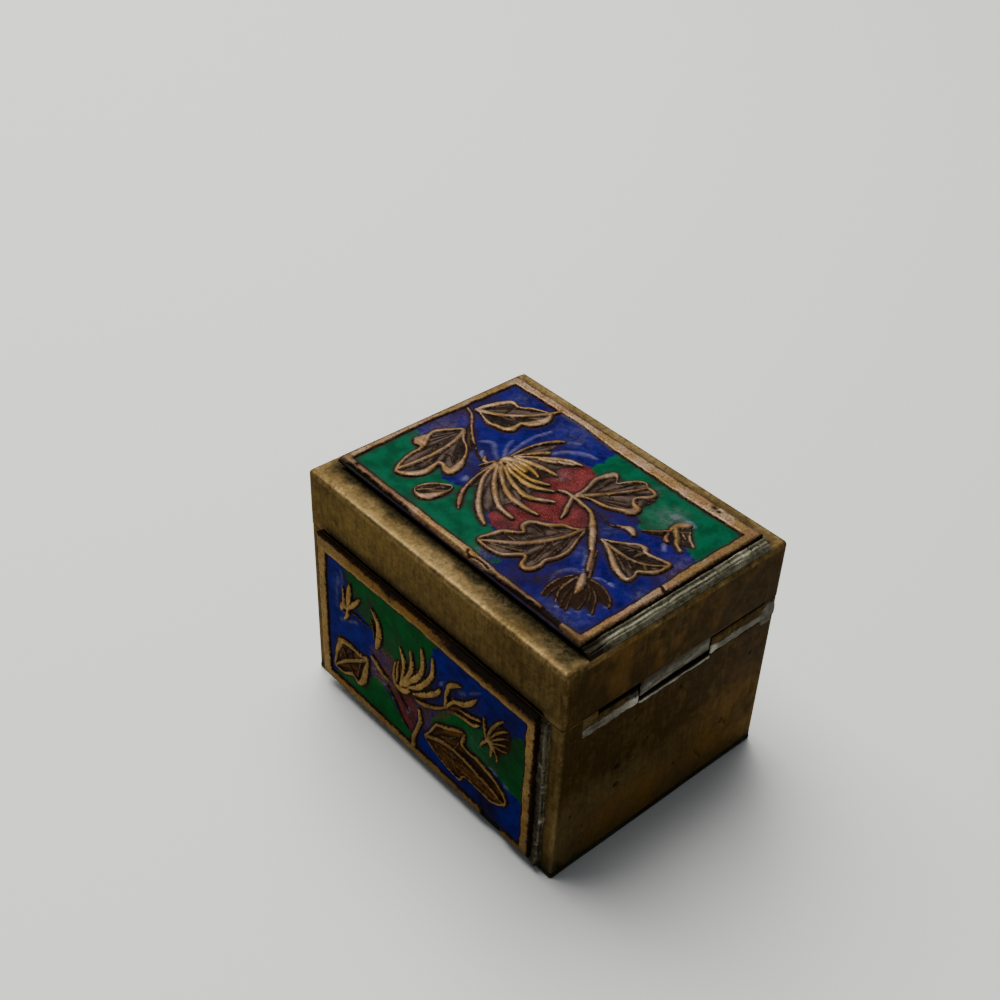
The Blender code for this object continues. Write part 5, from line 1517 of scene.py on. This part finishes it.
    cast.ridges([
        [(17.6, 22.0, 0.7), (19.4, 24.1, 0.7), (21.0, 25.7, 0.9), (22.8, 27.3, 1.0), (24.3, 28.3, 0.9),
         (25.9, 28.7, 0.6)],
        [(20.4, 24.6, 0.5), (21.6, 25.3, 0.8), (22.6, 26.0, 0.8)],
        [(22.9, 26.6, 0.8), (23.7, 27.0, 1.1), (24.9, 27.9, 0.6)],
        [(18.0, 21.9, 0.8), (19.5, 22.6, 1.0), (21.0, 23.0, 1.1), (23.0, 23.5, 1.1), (25.3, 23.8, 0.6)],
        [(18.0, 21.3, 1.1), (20.0, 21.8, 1.0), (22.0, 21.7, 0.9), (23.7, 21.3, 0.6)],
        [(18.6, 20.7, 1.0), (20.2, 20.8, 1.6), (21.4, 20.7, 1.0)],
        [(17.8, 20.1, 1.0), (20.0, 19.9, 0.9), (22.5, 19.8, 0.9), (24.5, 20.2, 1.0), (26.3, 21.2, 0.6)],
        [(18.3, 19.6, 0.7), (20.0, 18.9, 0.9), (22.0, 18.7, 1.0), (24.0, 18.7, 1.1), (26.0, 19.4, 1.0),
         (28.0, 20.6, 0.6)],
        [(18.4, 19.0, 0.6), (20.0, 18.1, 0.8), (22.0, 17.2, 1.0), (24.0, 16.7, 1.0), (26.0, 16.6, 1.1),
         (28.0, 17.4, 1.0), (30.0, 18.9, 0.6)]], gilt=0.95, copper=0.05)
    cast.ridges([
        [(17.8, 19.0, 0.7), (19.0, 17.7, 0.9), (20.8, 16.4, 1.0), (22.5, 15.4, 1.0), (24.3, 14.7, 1.1),
         (26.3, 14.4, 1.1), (28.5, 14.5, 1.0), (30.7, 14.8, 0.6)],
        [(17.3, 18.7, 0.7), (18.8, 16.7, 0.9), (20.4, 15.0, 1.0), (22.0, 13.7, 1.1), (24.0, 12.4, 1.1),
         (26.0, 11.5, 1.0), (28.9, 11.3, 0.7)],
        [(17.1, 18.3, 0.7), (18.0, 15.5, 0.8), (19.2, 13.5, 0.9), (21.0, 11.5, 1.0), (23.0, 9.6, 1.0),
         (25.0, 8.2, 1.1), (27.3, 7.1, 0.7)]], gilt=0.9, copper=0.3)
    cast.ridge([(16.8, 18.6, 0.6), (17.1, 16.0, 0.6), (17.7, 13.2, 0.6), (18.4, 11.2, 0.6)], gilt=0.85,
               copper=0.3)
    cast.ridge([(18.4, 11.2, 0.6), (19.3, 9.4, 1.0), (20.6, 7.8, 0.9), (21.9, 6.6, 0.5)], gilt=0.75,
               copper=1.0, crest=0.86)
    cast.ridge([(17.2, 19.2, 1.0), (16.9, 20.2, 1.4), (17.6, 21.0, 1.4), (18.8, 21.1, 1.0)], gilt=0.95)
    cast.sunk([(12.6, 36.2, 0.7), (15.0, 36.3, 0.8), (18.4, 36.4, 0.8), (22.0, 36.2, 0.8),
               (25.6, 35.6, 0.8)], 0.4)
    # Stems and the ridge that crosses the red.
    cast.ridge([(2.2, 25.0, 0.5), (4.2, 24.2, 0.6), (6.4, 22.3, 0.65), (8.2, 20.9, 0.6), (10.2, 19.6, 0.5),
                (12.1, 18.5, 0.4)],
               gilt=0.75, copper=0.6, crest=0.88)
    cast.ridge([(6.0, 21.9, 0.4), (7.8, 20.5, 0.6), (9.6, 19.0, 0.6), (11.6, 17.8, 0.5)], gilt=0.15,
               crest=0.84)
    cast.ridge([(12.0, 18.4, 0.5), (13.6, 17.7, 0.6), (15.4, 17.4, 0.4)], gilt=0.3, copper=0.5, crest=0.76)
    cast.ridge([(28.2, 21.4, 0.6), (29.3, 22.0, 0.9), (30.6, 22.0, 0.9), (31.5, 20.8, 0.8),
                (32.3, 19.3, 0.9), (33.0, 18.2, 0.9), (33.5, 17.0, 0.5)], gilt=0.85, copper=0.45)
    cast.ridge([(30.6, 22.2, 0.8), (33.0, 21.9, 0.9), (35.0, 21.6, 0.9), (36.5, 20.7, 1.1),
                (38.0, 19.3, 1.3), (39.4, 18.0, 1.3), (40.6, 16.7, 1.2), (41.6, 15.6, 0.9)], gilt=0.9,
                copper=0.15)
    cast.ridge([(41.6, 15.9, 0.6), (42.8, 14.4, 0.8), (43.9, 12.9, 0.9), (44.8, 11.7, 0.7)], gilt=0.75,
               copper=0.6)
    cast.ridge([(42.4, 16.0, 0.4), (43.6, 14.2, 0.5), (45.2, 12.0, 0.6), (46.0, 10.9, 0.6)], gilt=0.45,
               copper=0.2, crest=0.86)
    cast.sunk([(42.2, 14.0, 0.6), (43.4, 12.2, 0.6)], 0.5)
    cast.sunk([(44.2, 11.6, 0.5), (44.5, 11.2, 0.5)], 0.8)
    cast.ridge([(34.4, 22.3, 0.3), (37.2, 22.2, 0.4), (39.2, 21.8, 0.5), (40.4, 22.4, 0.5)], gilt=0.4,
               copper=0.4, crest=0.8)
    cast.ridge([(40.9, 22.7, 0.6), (42.0, 23.3, 1.3), (43.4, 22.7, 0.6)], gilt=0.85)
    cast.ridge([(40.0, 22.4, 0.4), (41.2, 23.0, 0.5), (42.0, 23.3, 0.6)], gilt=0.6, copper=0.8)
    cast.ridge([(43.4, 24.5, 0.4), (44.3, 25.5, 0.4), (45.2, 26.4, 0.5), (46.2, 27.8, 0.7)], gilt=0.7,
               copper=0.5)
    cast.ridge([(44.0, 24.7, 0.3), (45.0, 25.5, 0.5), (45.9, 26.4, 0.4)], gilt=0.1, crest=0.8)
    # Upper right bud.
    cast.field([(46.6, 28.6), (47.2, 30.2), (47.8, 30.6), (48.8, 29.4), (50.8, 27.7), (49.6, 26.8),
                (48.2, 26.6), (47.2, 27.8)], (46.6, 28.0), low=0.68, gilt=0.08, copper=0.3)
    cast.sunk([(45.8, 30.6, 1.0), (46.6, 31.5, 1.4), (47.6, 31.2, 0.9)], 0.8)
    cast.ridges([
        [(45.9, 28.1, 1.0), (45.9, 29.2, 1.4), (46.4, 30.2, 1.5), (47.1, 30.9, 0.9)],
        [(46.2, 28.8, 0.9), (47.0, 28.0, 1.0), (48.0, 27.1, 1.0), (48.8, 26.1, 0.8), (50.3, 25.4, 0.7)],
        [(48.2, 29.8, 0.4), (49.2, 28.6, 0.5), (50.9, 27.6, 0.5)],
        [(47.4, 28.8, 0.4), (48.8, 28.0, 0.4)]], gilt=0.85, copper=0.1)
    cast.ridge([(46.3, 27.0, 0.6), (46.8, 25.9, 0.8), (47.6, 25.5, 0.7)], gilt=0.9, copper=0.9)
    cast.sunk([(47.5, 24.8, 0.8), (48.5, 23.8, 0.8)], 0.7)
    # Lower right bud: a dense fan of dark petals.
    cast.field([(44.2, 10.0), (46.4, 11.2), (48.6, 11.0), (50.8, 10.2), (51.8, 8.6), (50.2, 8.2),
                (51.6, 5.8), (49.6, 6.2), (50.0, 4.6), (48.4, 4.8), (48.2, 3.2), (46.6, 4.4), (46.8, 3.2),
                (45.2, 4.6), (44.6, 3.0), (43.6, 4.2), (43.4, 6.4)], (45.8, 11.0), low=0.6, gilt=0.0,
                leafy=0.0)
    for petal, brightened in (
            ([(44.3, 9.7, 0.4), (43.6, 8.0, 0.4), (43.4, 6.3, 0.4), (43.7, 4.6, 0.4), (44.1, 3.4, 0.3)],
             0.6),
            ([(44.8, 9.8, 0.5), (44.9, 7.6, 0.5), (45.3, 5.8, 0.45), (46.1, 4.4, 0.4), (46.8, 3.5, 0.3)],
             0.65),
            ([(44.6, 7.0, 0.3), (44.7, 5.0, 0.4), (45.1, 3.4, 0.3)], 0.3),
            ([(46.0, 7.6, 0.3), (46.6, 5.4, 0.4), (47.8, 3.4, 0.4)], 0.2),
            ([(46.9, 6.6, 0.3), (47.8, 5.2, 0.4), (48.9, 3.5, 0.5)], 0.25),
            ([(47.6, 8.8, 0.3), (49.0, 7.2, 0.4), (49.9, 4.9, 0.5)], 0.2),
            ([(48.0, 9.6, 0.4), (49.8, 8.5, 0.4), (50.8, 7.2, 0.4), (51.9, 5.7, 0.5)], 0.4),
            ([(46.6, 10.7, 0.5), (48.6, 10.9, 0.5), (50.5, 10.3, 0.5), (51.6, 9.6, 0.5),
              (52.3, 8.6, 0.6)], 0.35),
            ([(46.9, 9.8, 0.4), (48.6, 8.6, 0.4), (49.8, 7.0, 0.3)], 0.2)):
        cast.ridge(petal, gilt=brightened, copper=0.7, crest=0.88)
    cast.ridge([(45.1, 10.6, 1.0), (46.0, 9.3, 1.4), (46.8, 8.0, 1.2), (47.2, 7.0, 0.6)], gilt=0.9,
               copper=0.3)
    cast.sunk([(44.8, 10.8, 0.9), (43.4, 10.4, 1.3), (42.5, 9.2, 1.0), (42.3, 7.6, 0.7),
               (42.9, 6.2, 0.5)], 0.28)
    cast.sunk([(46.3, 11.2, 0.6), (47.2, 12.0, 0.7), (48.0, 12.1, 0.5)], 0.45)
    cast.sunk([(48.7, 12.3, 0.7), (49.4, 12.2, 0.6)], 0.9)
    for across, up in ((49.4, 3.4), (47.6, 3.0), (50.2, 4.6), (52.0, 8.2), (51.9, 5.5)):
        cast.sunk([(across - 0.2, up, 0.6), (across + 0.2, up + 0.1, 0.5)], 0.6)
    return cast


def make_top():
    low, high = in_mm(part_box("top_panel"))
    frame_of = (low, ALONG, DEEP, UP)
    cast = top_casting((high[0] - low[0], high[1] - low[1]))
    u, v = cast.u, cast.v
    green = np.maximum.reduce([
        zone(u, v, [(27.2, 38), (40, 38), (55, 38), (55, 26.8), (51.2, 26.2), (49.2, 27.2), (46.5, 27.2),
                    (44.6, 25.6), (42.6, 24.6), (40.4, 26.6), (36, 25), (31, 27), (29.5, 28.6),
                    (27.2, 29.0), (27.0, 31.5), (27.0, 35)],
             0.5, 131),
        zone(u, v, [(0.4, 0.6), (15, 0.6), (30.6, 0.6), (30.4, 4.2), (29.6, 7.0), (26.5, 8.2),
                    (20.5, 12.2), (18.4, 10.8), (16.6, 10.0), (14.4, 9.6), (10, 12.0), (6, 12.4),
                    (3.6, 13.6), (0.4, 13.8)], 0.5, 132),
        0.9 * spot(u, v, (34.5, 2.7), 1.0)])
    red = zone(u, v, [(24.6, 29.0), (29.0, 29.0), (30.3, 26), (31.0, 22.8), (33.4, 22.2), (36.0, 20.6),
                      (37.9, 18.2), (34.5, 15.8), (31.0, 13.8), (30.7, 11.0), (32.0, 10.2), (30, 8.2),
                      (27.0, 8.4), (23.0, 12), (21.7, 17), (22.7, 24)], 0.4, 133)
    # The dab at (16.8, 12.3) is a painted highlight on the glass. The rest are milky veils.
    veil_and_highlight = dabs(u, v, (
        (0.75, 44.0, 31.0, 1.4), (0.3, 43.6, 29.4, 3.0), (0.9, 16.8, 12.3, 0.6),
        (0.35, 53.2, 14.0, 1.4), (0.3, 53.2, 20.5, 1.6), (0.2, 19.0, 34.4, 4.0), (0.3, 37.8, 33.4, 1.2),
        (0.35, 4.2, 18.5, 3.0), (0.3, 3.4, 14.5, 1.6), (0.2, 50, 3.2, 3.2), (0.12, 46, 2.8, 2.4),
        (0.3, 52.6, 24, 1.6), (0.3, 39.6, 21, 1.6), (0.45, 25.6, 24.6, 1.4), (0.25, 5.5, 34, 2.0),
        (0.3, 41.0, 14.2, 1.3), (0.2, 12.5, 16, 2.5), (0.5, 32, 2.8, 1.5)))
    golden = dabs(u, v, ((0.85, 21.5, 20.5, 3.4), (0.35, 24.0, 17.5, 4.0)))
    golden = golden + 0.5 * ramp(v, 2.0, 1.6) * ramp(u, 22.0, 26.0) * ramp(u, 34.0, 31.0)
    haze = dabs(u, v, (
        (0.15, 3.4, 19.0, 3.2), (0.15, 3.0, 23.0, 2.0), (0.25, 52.6, 22.0, 2.5)))
    murk_and_shade = dabs(u, v, (
        (0.7, 13.2, 18.2, 1.6), (0.5, 15.4, 14.6, 2.0), (0.5, 3.2, 18.5, 2.0), (0.8, 42.4, 8.4, 1.2),
        (0.7, 42.2, 6.2, 1.4), (0.9, 2.9, 27.0, 1.6), (0.7, 3.0, 30.2, 1.3), (0.8, 2.6, 24.4, 1.0),
        (0.8, 11.0, 36.0, 1.0), (0.6, 29.4, 9.4, 2.2), (0.5, 26.6, 13.6, 1.6), (0.8, 37.0, 23.2, 2.2),
        (0.7, 40.6, 25.6, 1.4), (0.7, 36.2, 19.6, 1.4), (0.6, 41.6, 5.0, 1.2), (0.6, 38.5, 3.2, 2.2),
        (0.4, 33.0, 3.0, 2.0), (0.5, 47.0, 2.6, 1.6), (0.5, 52.6, 18.0, 1.4), (0.5, 34.2, 20.6, 1.0),
        (0.35, 20, 29, 1.6), (0.4, 11.6, 35.6, 1.2), (0.4, 1.8, 24.6, 1.6)))
    copper = 0.8 * ramp(v, 2.2, 1.2) * ramp(u, 18.0, 15.0) * ramp(u, 1.0, 4.0)
    copper = copper + 0.9 * spot(u, v, (41.6, 1.2), 0.8)
    copper = np.maximum(copper, 0.7 * ramp(v, 2.0, 1.4) * ramp(u, 44.0, 46.0) * ramp(u, 50.5, 49.5))
    cast.copper = np.maximum(cast.copper, copper)
    # Handling has rubbed the hinge end and the front less.
    along = np.interp(u, [17, 19, 30, 36, 45, 48, 52, 56], [0.3, 0.18, 0.22, 0.55, 0.6, 0.85, 0.55, 0.5])
    duller = np.maximum.reduce([
        0.2 * ramp(u, 12.0, 24.0) * ramp(cast.inward, -0.3, 0.3), 0.22 * ramp(u, 52.4, 53.6),
        0.16 * ramp(u, 3.0, 2.0),
        0.5 * ramp(v, 2.6, 1.6) * ramp(u, 18.0, 14.0) * (1 + 0.6 * layers(u, v, 2.0, 145)),
        along * ramp(v, 2.6, 1.6) * (1 + 0.4 * layers(u, v, 1.6, 151))])
    cast.gilt *= 1 - duller
    # The front border: broken at its left, folded in the middle, bent under past that and
    # chipped to pieces by the hinge end.
    outer = v + 0.28 * layers(u, v, 1.6, 136) + 0.12 * mottle(u, v, 0.5, 135)
    under_edge = np.interp(u, [0, 3, 16, 19, 30, 34, 37, 46, 50, 51, 56],
                           [0.3, 0.8, 0.75, 0.35, 0.2, 0.1, 0.8, 1.1, 1.3, 0.4, 0.3])
    # Where the border is bent under, its underside is painted dark as shade, through the soot and shade
    # mask.
    lip = ramp(outer, under_edge, under_edge - 0.3)
    crease = [(30.4, 1.4), (30.7, 0.8), (31.6, 0.55), (32.6, 0.95), (34.2, 1.05), (35.4, 0.85)]
    fold = 0.55 * ramp(to_path(u, v, crease), 0.3, 0.05) * ramp(layers(u, v, 1.2, 132), -0.5, 0.1)
    gone = ramp(u, 46.2, 46.9) * ramp(u, 50.8, 50.2) * ramp(v, 2.1, 1.7)
    gone = gone * ramp(layers(u, v, 1.1, 137), 0.65, 0.35)
    gone = np.maximum(gone, ramp(np.abs(u - 47.2 + 0.2 * v), 0.3, 0.1) * ramp(v, 2.0, 1.6))
    inner_line = ramp(np.abs(v - 1.7 + 0.2 * layers(u, v, 2.0, 134)), 0.25, 0.05)
    inner_line = inner_line * ramp(u, 2.5, 4.0) * ramp(u, 17.0, 14.0)
    broken = ramp(layers(u, v, 1.3, 133), 0.1, 0.5) * ramp(u, 17.0, 13.0)
    broken = broken * ramp(u, 2.0, 4.0) * ramp(v, 2.1, 1.6)
    broken = np.maximum(0.8 * broken, 0.7 * inner_line)
    nick = np.maximum(spot(u, v, (46.6, 37.2), 0.5), spot(u, v, (47.6, 36.9), 0.4))
    crack = ramp(np.abs(v - 17.2 + 0.4 * layers(u, v, 1.0, 138)), 0.4, 0.1) * ramp(u, 53.2, 53.6)
    cast.drop = 0.6 * ramp(v + 0.15 * layers(u, v, 2.0, 139), 0.95, 0.0)
    loss = np.maximum.reduce([fold, lip, gone, 0.6 * broken, 0.7 * nick, 0.8 * crack])
    cast.height -= 0.34 * loss * ramp(cast.height, 0.55, 0.85)
    soot_and_shade = np.maximum(0.9 * loss, 0.75 * broken)
    murk_and_shade = np.maximum(murk_and_shade, gone * ramp(v, 2.4, 1.8))
    burnt = dabs(u, v, (
        (0.3, 43.5, 6.5, 4.0), (0.2, 38.0, 4.0, 3.0)))
    set_panel("top", "top_panel", frame_of, cast, 0.96, "lid",
              {"green": green, "red": red, "veil_and_highlight": veil_and_highlight, "burnt": burnt, "murk_and_shade": murk_and_shade, "haze": haze,
               "golden": golden}, soot_and_shade,
              TOP_METAL, TOP_GLASS, outline_depth=0.8)


make_top()


ledge_solder = old_solder("ledge_solder", (0.022, 0.021, 0.01), (0.09, 0.086, 0.052), (0.46, 0.43, 0.32))


def make_ledge():
    """Ledges of solder from the panel's hinge end down to the lid's edge."""
    panel_low, panel_high = in_mm(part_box("top_panel"))
    sunk = 0.2
    under = 0.95
    origin = np.array([panel_high[0] - under, panel_low[1] + 0.3, lid_high[2] - sunk])
    frame_of = (origin, ALONG, DEEP, UP)
    wide = lid_high[0] - 0.42 - origin[0]
    deep = panel_high[1] - panel_low[1]

    def ledges(u, v):
        """How far out a point lies, the cracks between ledges, and the part that is past the near end."""
        out = u + 0.14 * layers(u * 0.3, v * 0.3, 1.4, 141)
        first, second = ramp(np.abs(out - 1.5), 0.17, 0.0), ramp(np.abs(out - 2.15), 0.14, 0.0)
        cracks = np.maximum(first, 0.9 * second)
        cracks = cracks * ramp(layers(u * 0.4, v * 0.4, 1.2, 147), -0.5, 0.1)
        across = ramp(np.abs(mottle(u * 0.6, v, 2.2, 149)), 0.05, 0.0)
        across = across * ramp(layers(u, v, 3.0, 150), 0.0, 0.4)
        return out, np.maximum(cracks, across), ramp(v + 0.8 * layers(u, v, 1.5, 144), 2.2, 5.2)

    def shape(u, v):
        out, cracks, risen = ledges(u, v)
        height = 0.88 + 0.38 * ramp(out, under, under + 0.12) - 0.3 * ramp(out, 1.45, 1.62)
        height -= 0.22 * ramp(out, 2.05, 2.25) + 0.55 * ramp(out, 2.35, wide)
        rough = 0.05 * mottle(u, v * 0.12, 0.22, 142) + 0.07 * layers(u, v, 1.0, 143)
        height = height - 0.16 * cracks + rough * ramp(out, 0.8, 1.1)
        return sunk + (height - 0.2 * (1 - risen) * ramp(out, 1.0, 1.3)) * ramp(deep - v, 0.0, 0.4)

    def wear_and_glint(u, v):
        out, _, risen = ledges(u, v)
        streaks = 0.5 + 0.5 * mottle(u, v * 0.1, 0.3, 146)
        patches = ramp(layers(u, v, 2.6, 148), 0.1, 0.7)
        edge = 0.3 * ramp(np.abs(out - 1.95), 0.18, 0.0)
        return risen * (0.3 * streaks + 0.75 * patches * streaks + edge)

    # Black in the cracks, and painted shade under the panel's edge and at the near end, under the panel's
    # corner.
    def soot_and_shade(u, v):
        out, cracks, risen = ledges(u, v)
        return np.maximum.reduce([0.97 * cracks, 0.98 * (1 - risen), 0.9 * ramp(out, under + 0.14, under)])

    crust("top_solder_ledge", frame_of, (wide, deep), 0.14, shape, ledge_solder, "lid", "solder", wear_and_glint,
          soot_and_shade)


make_ledge()
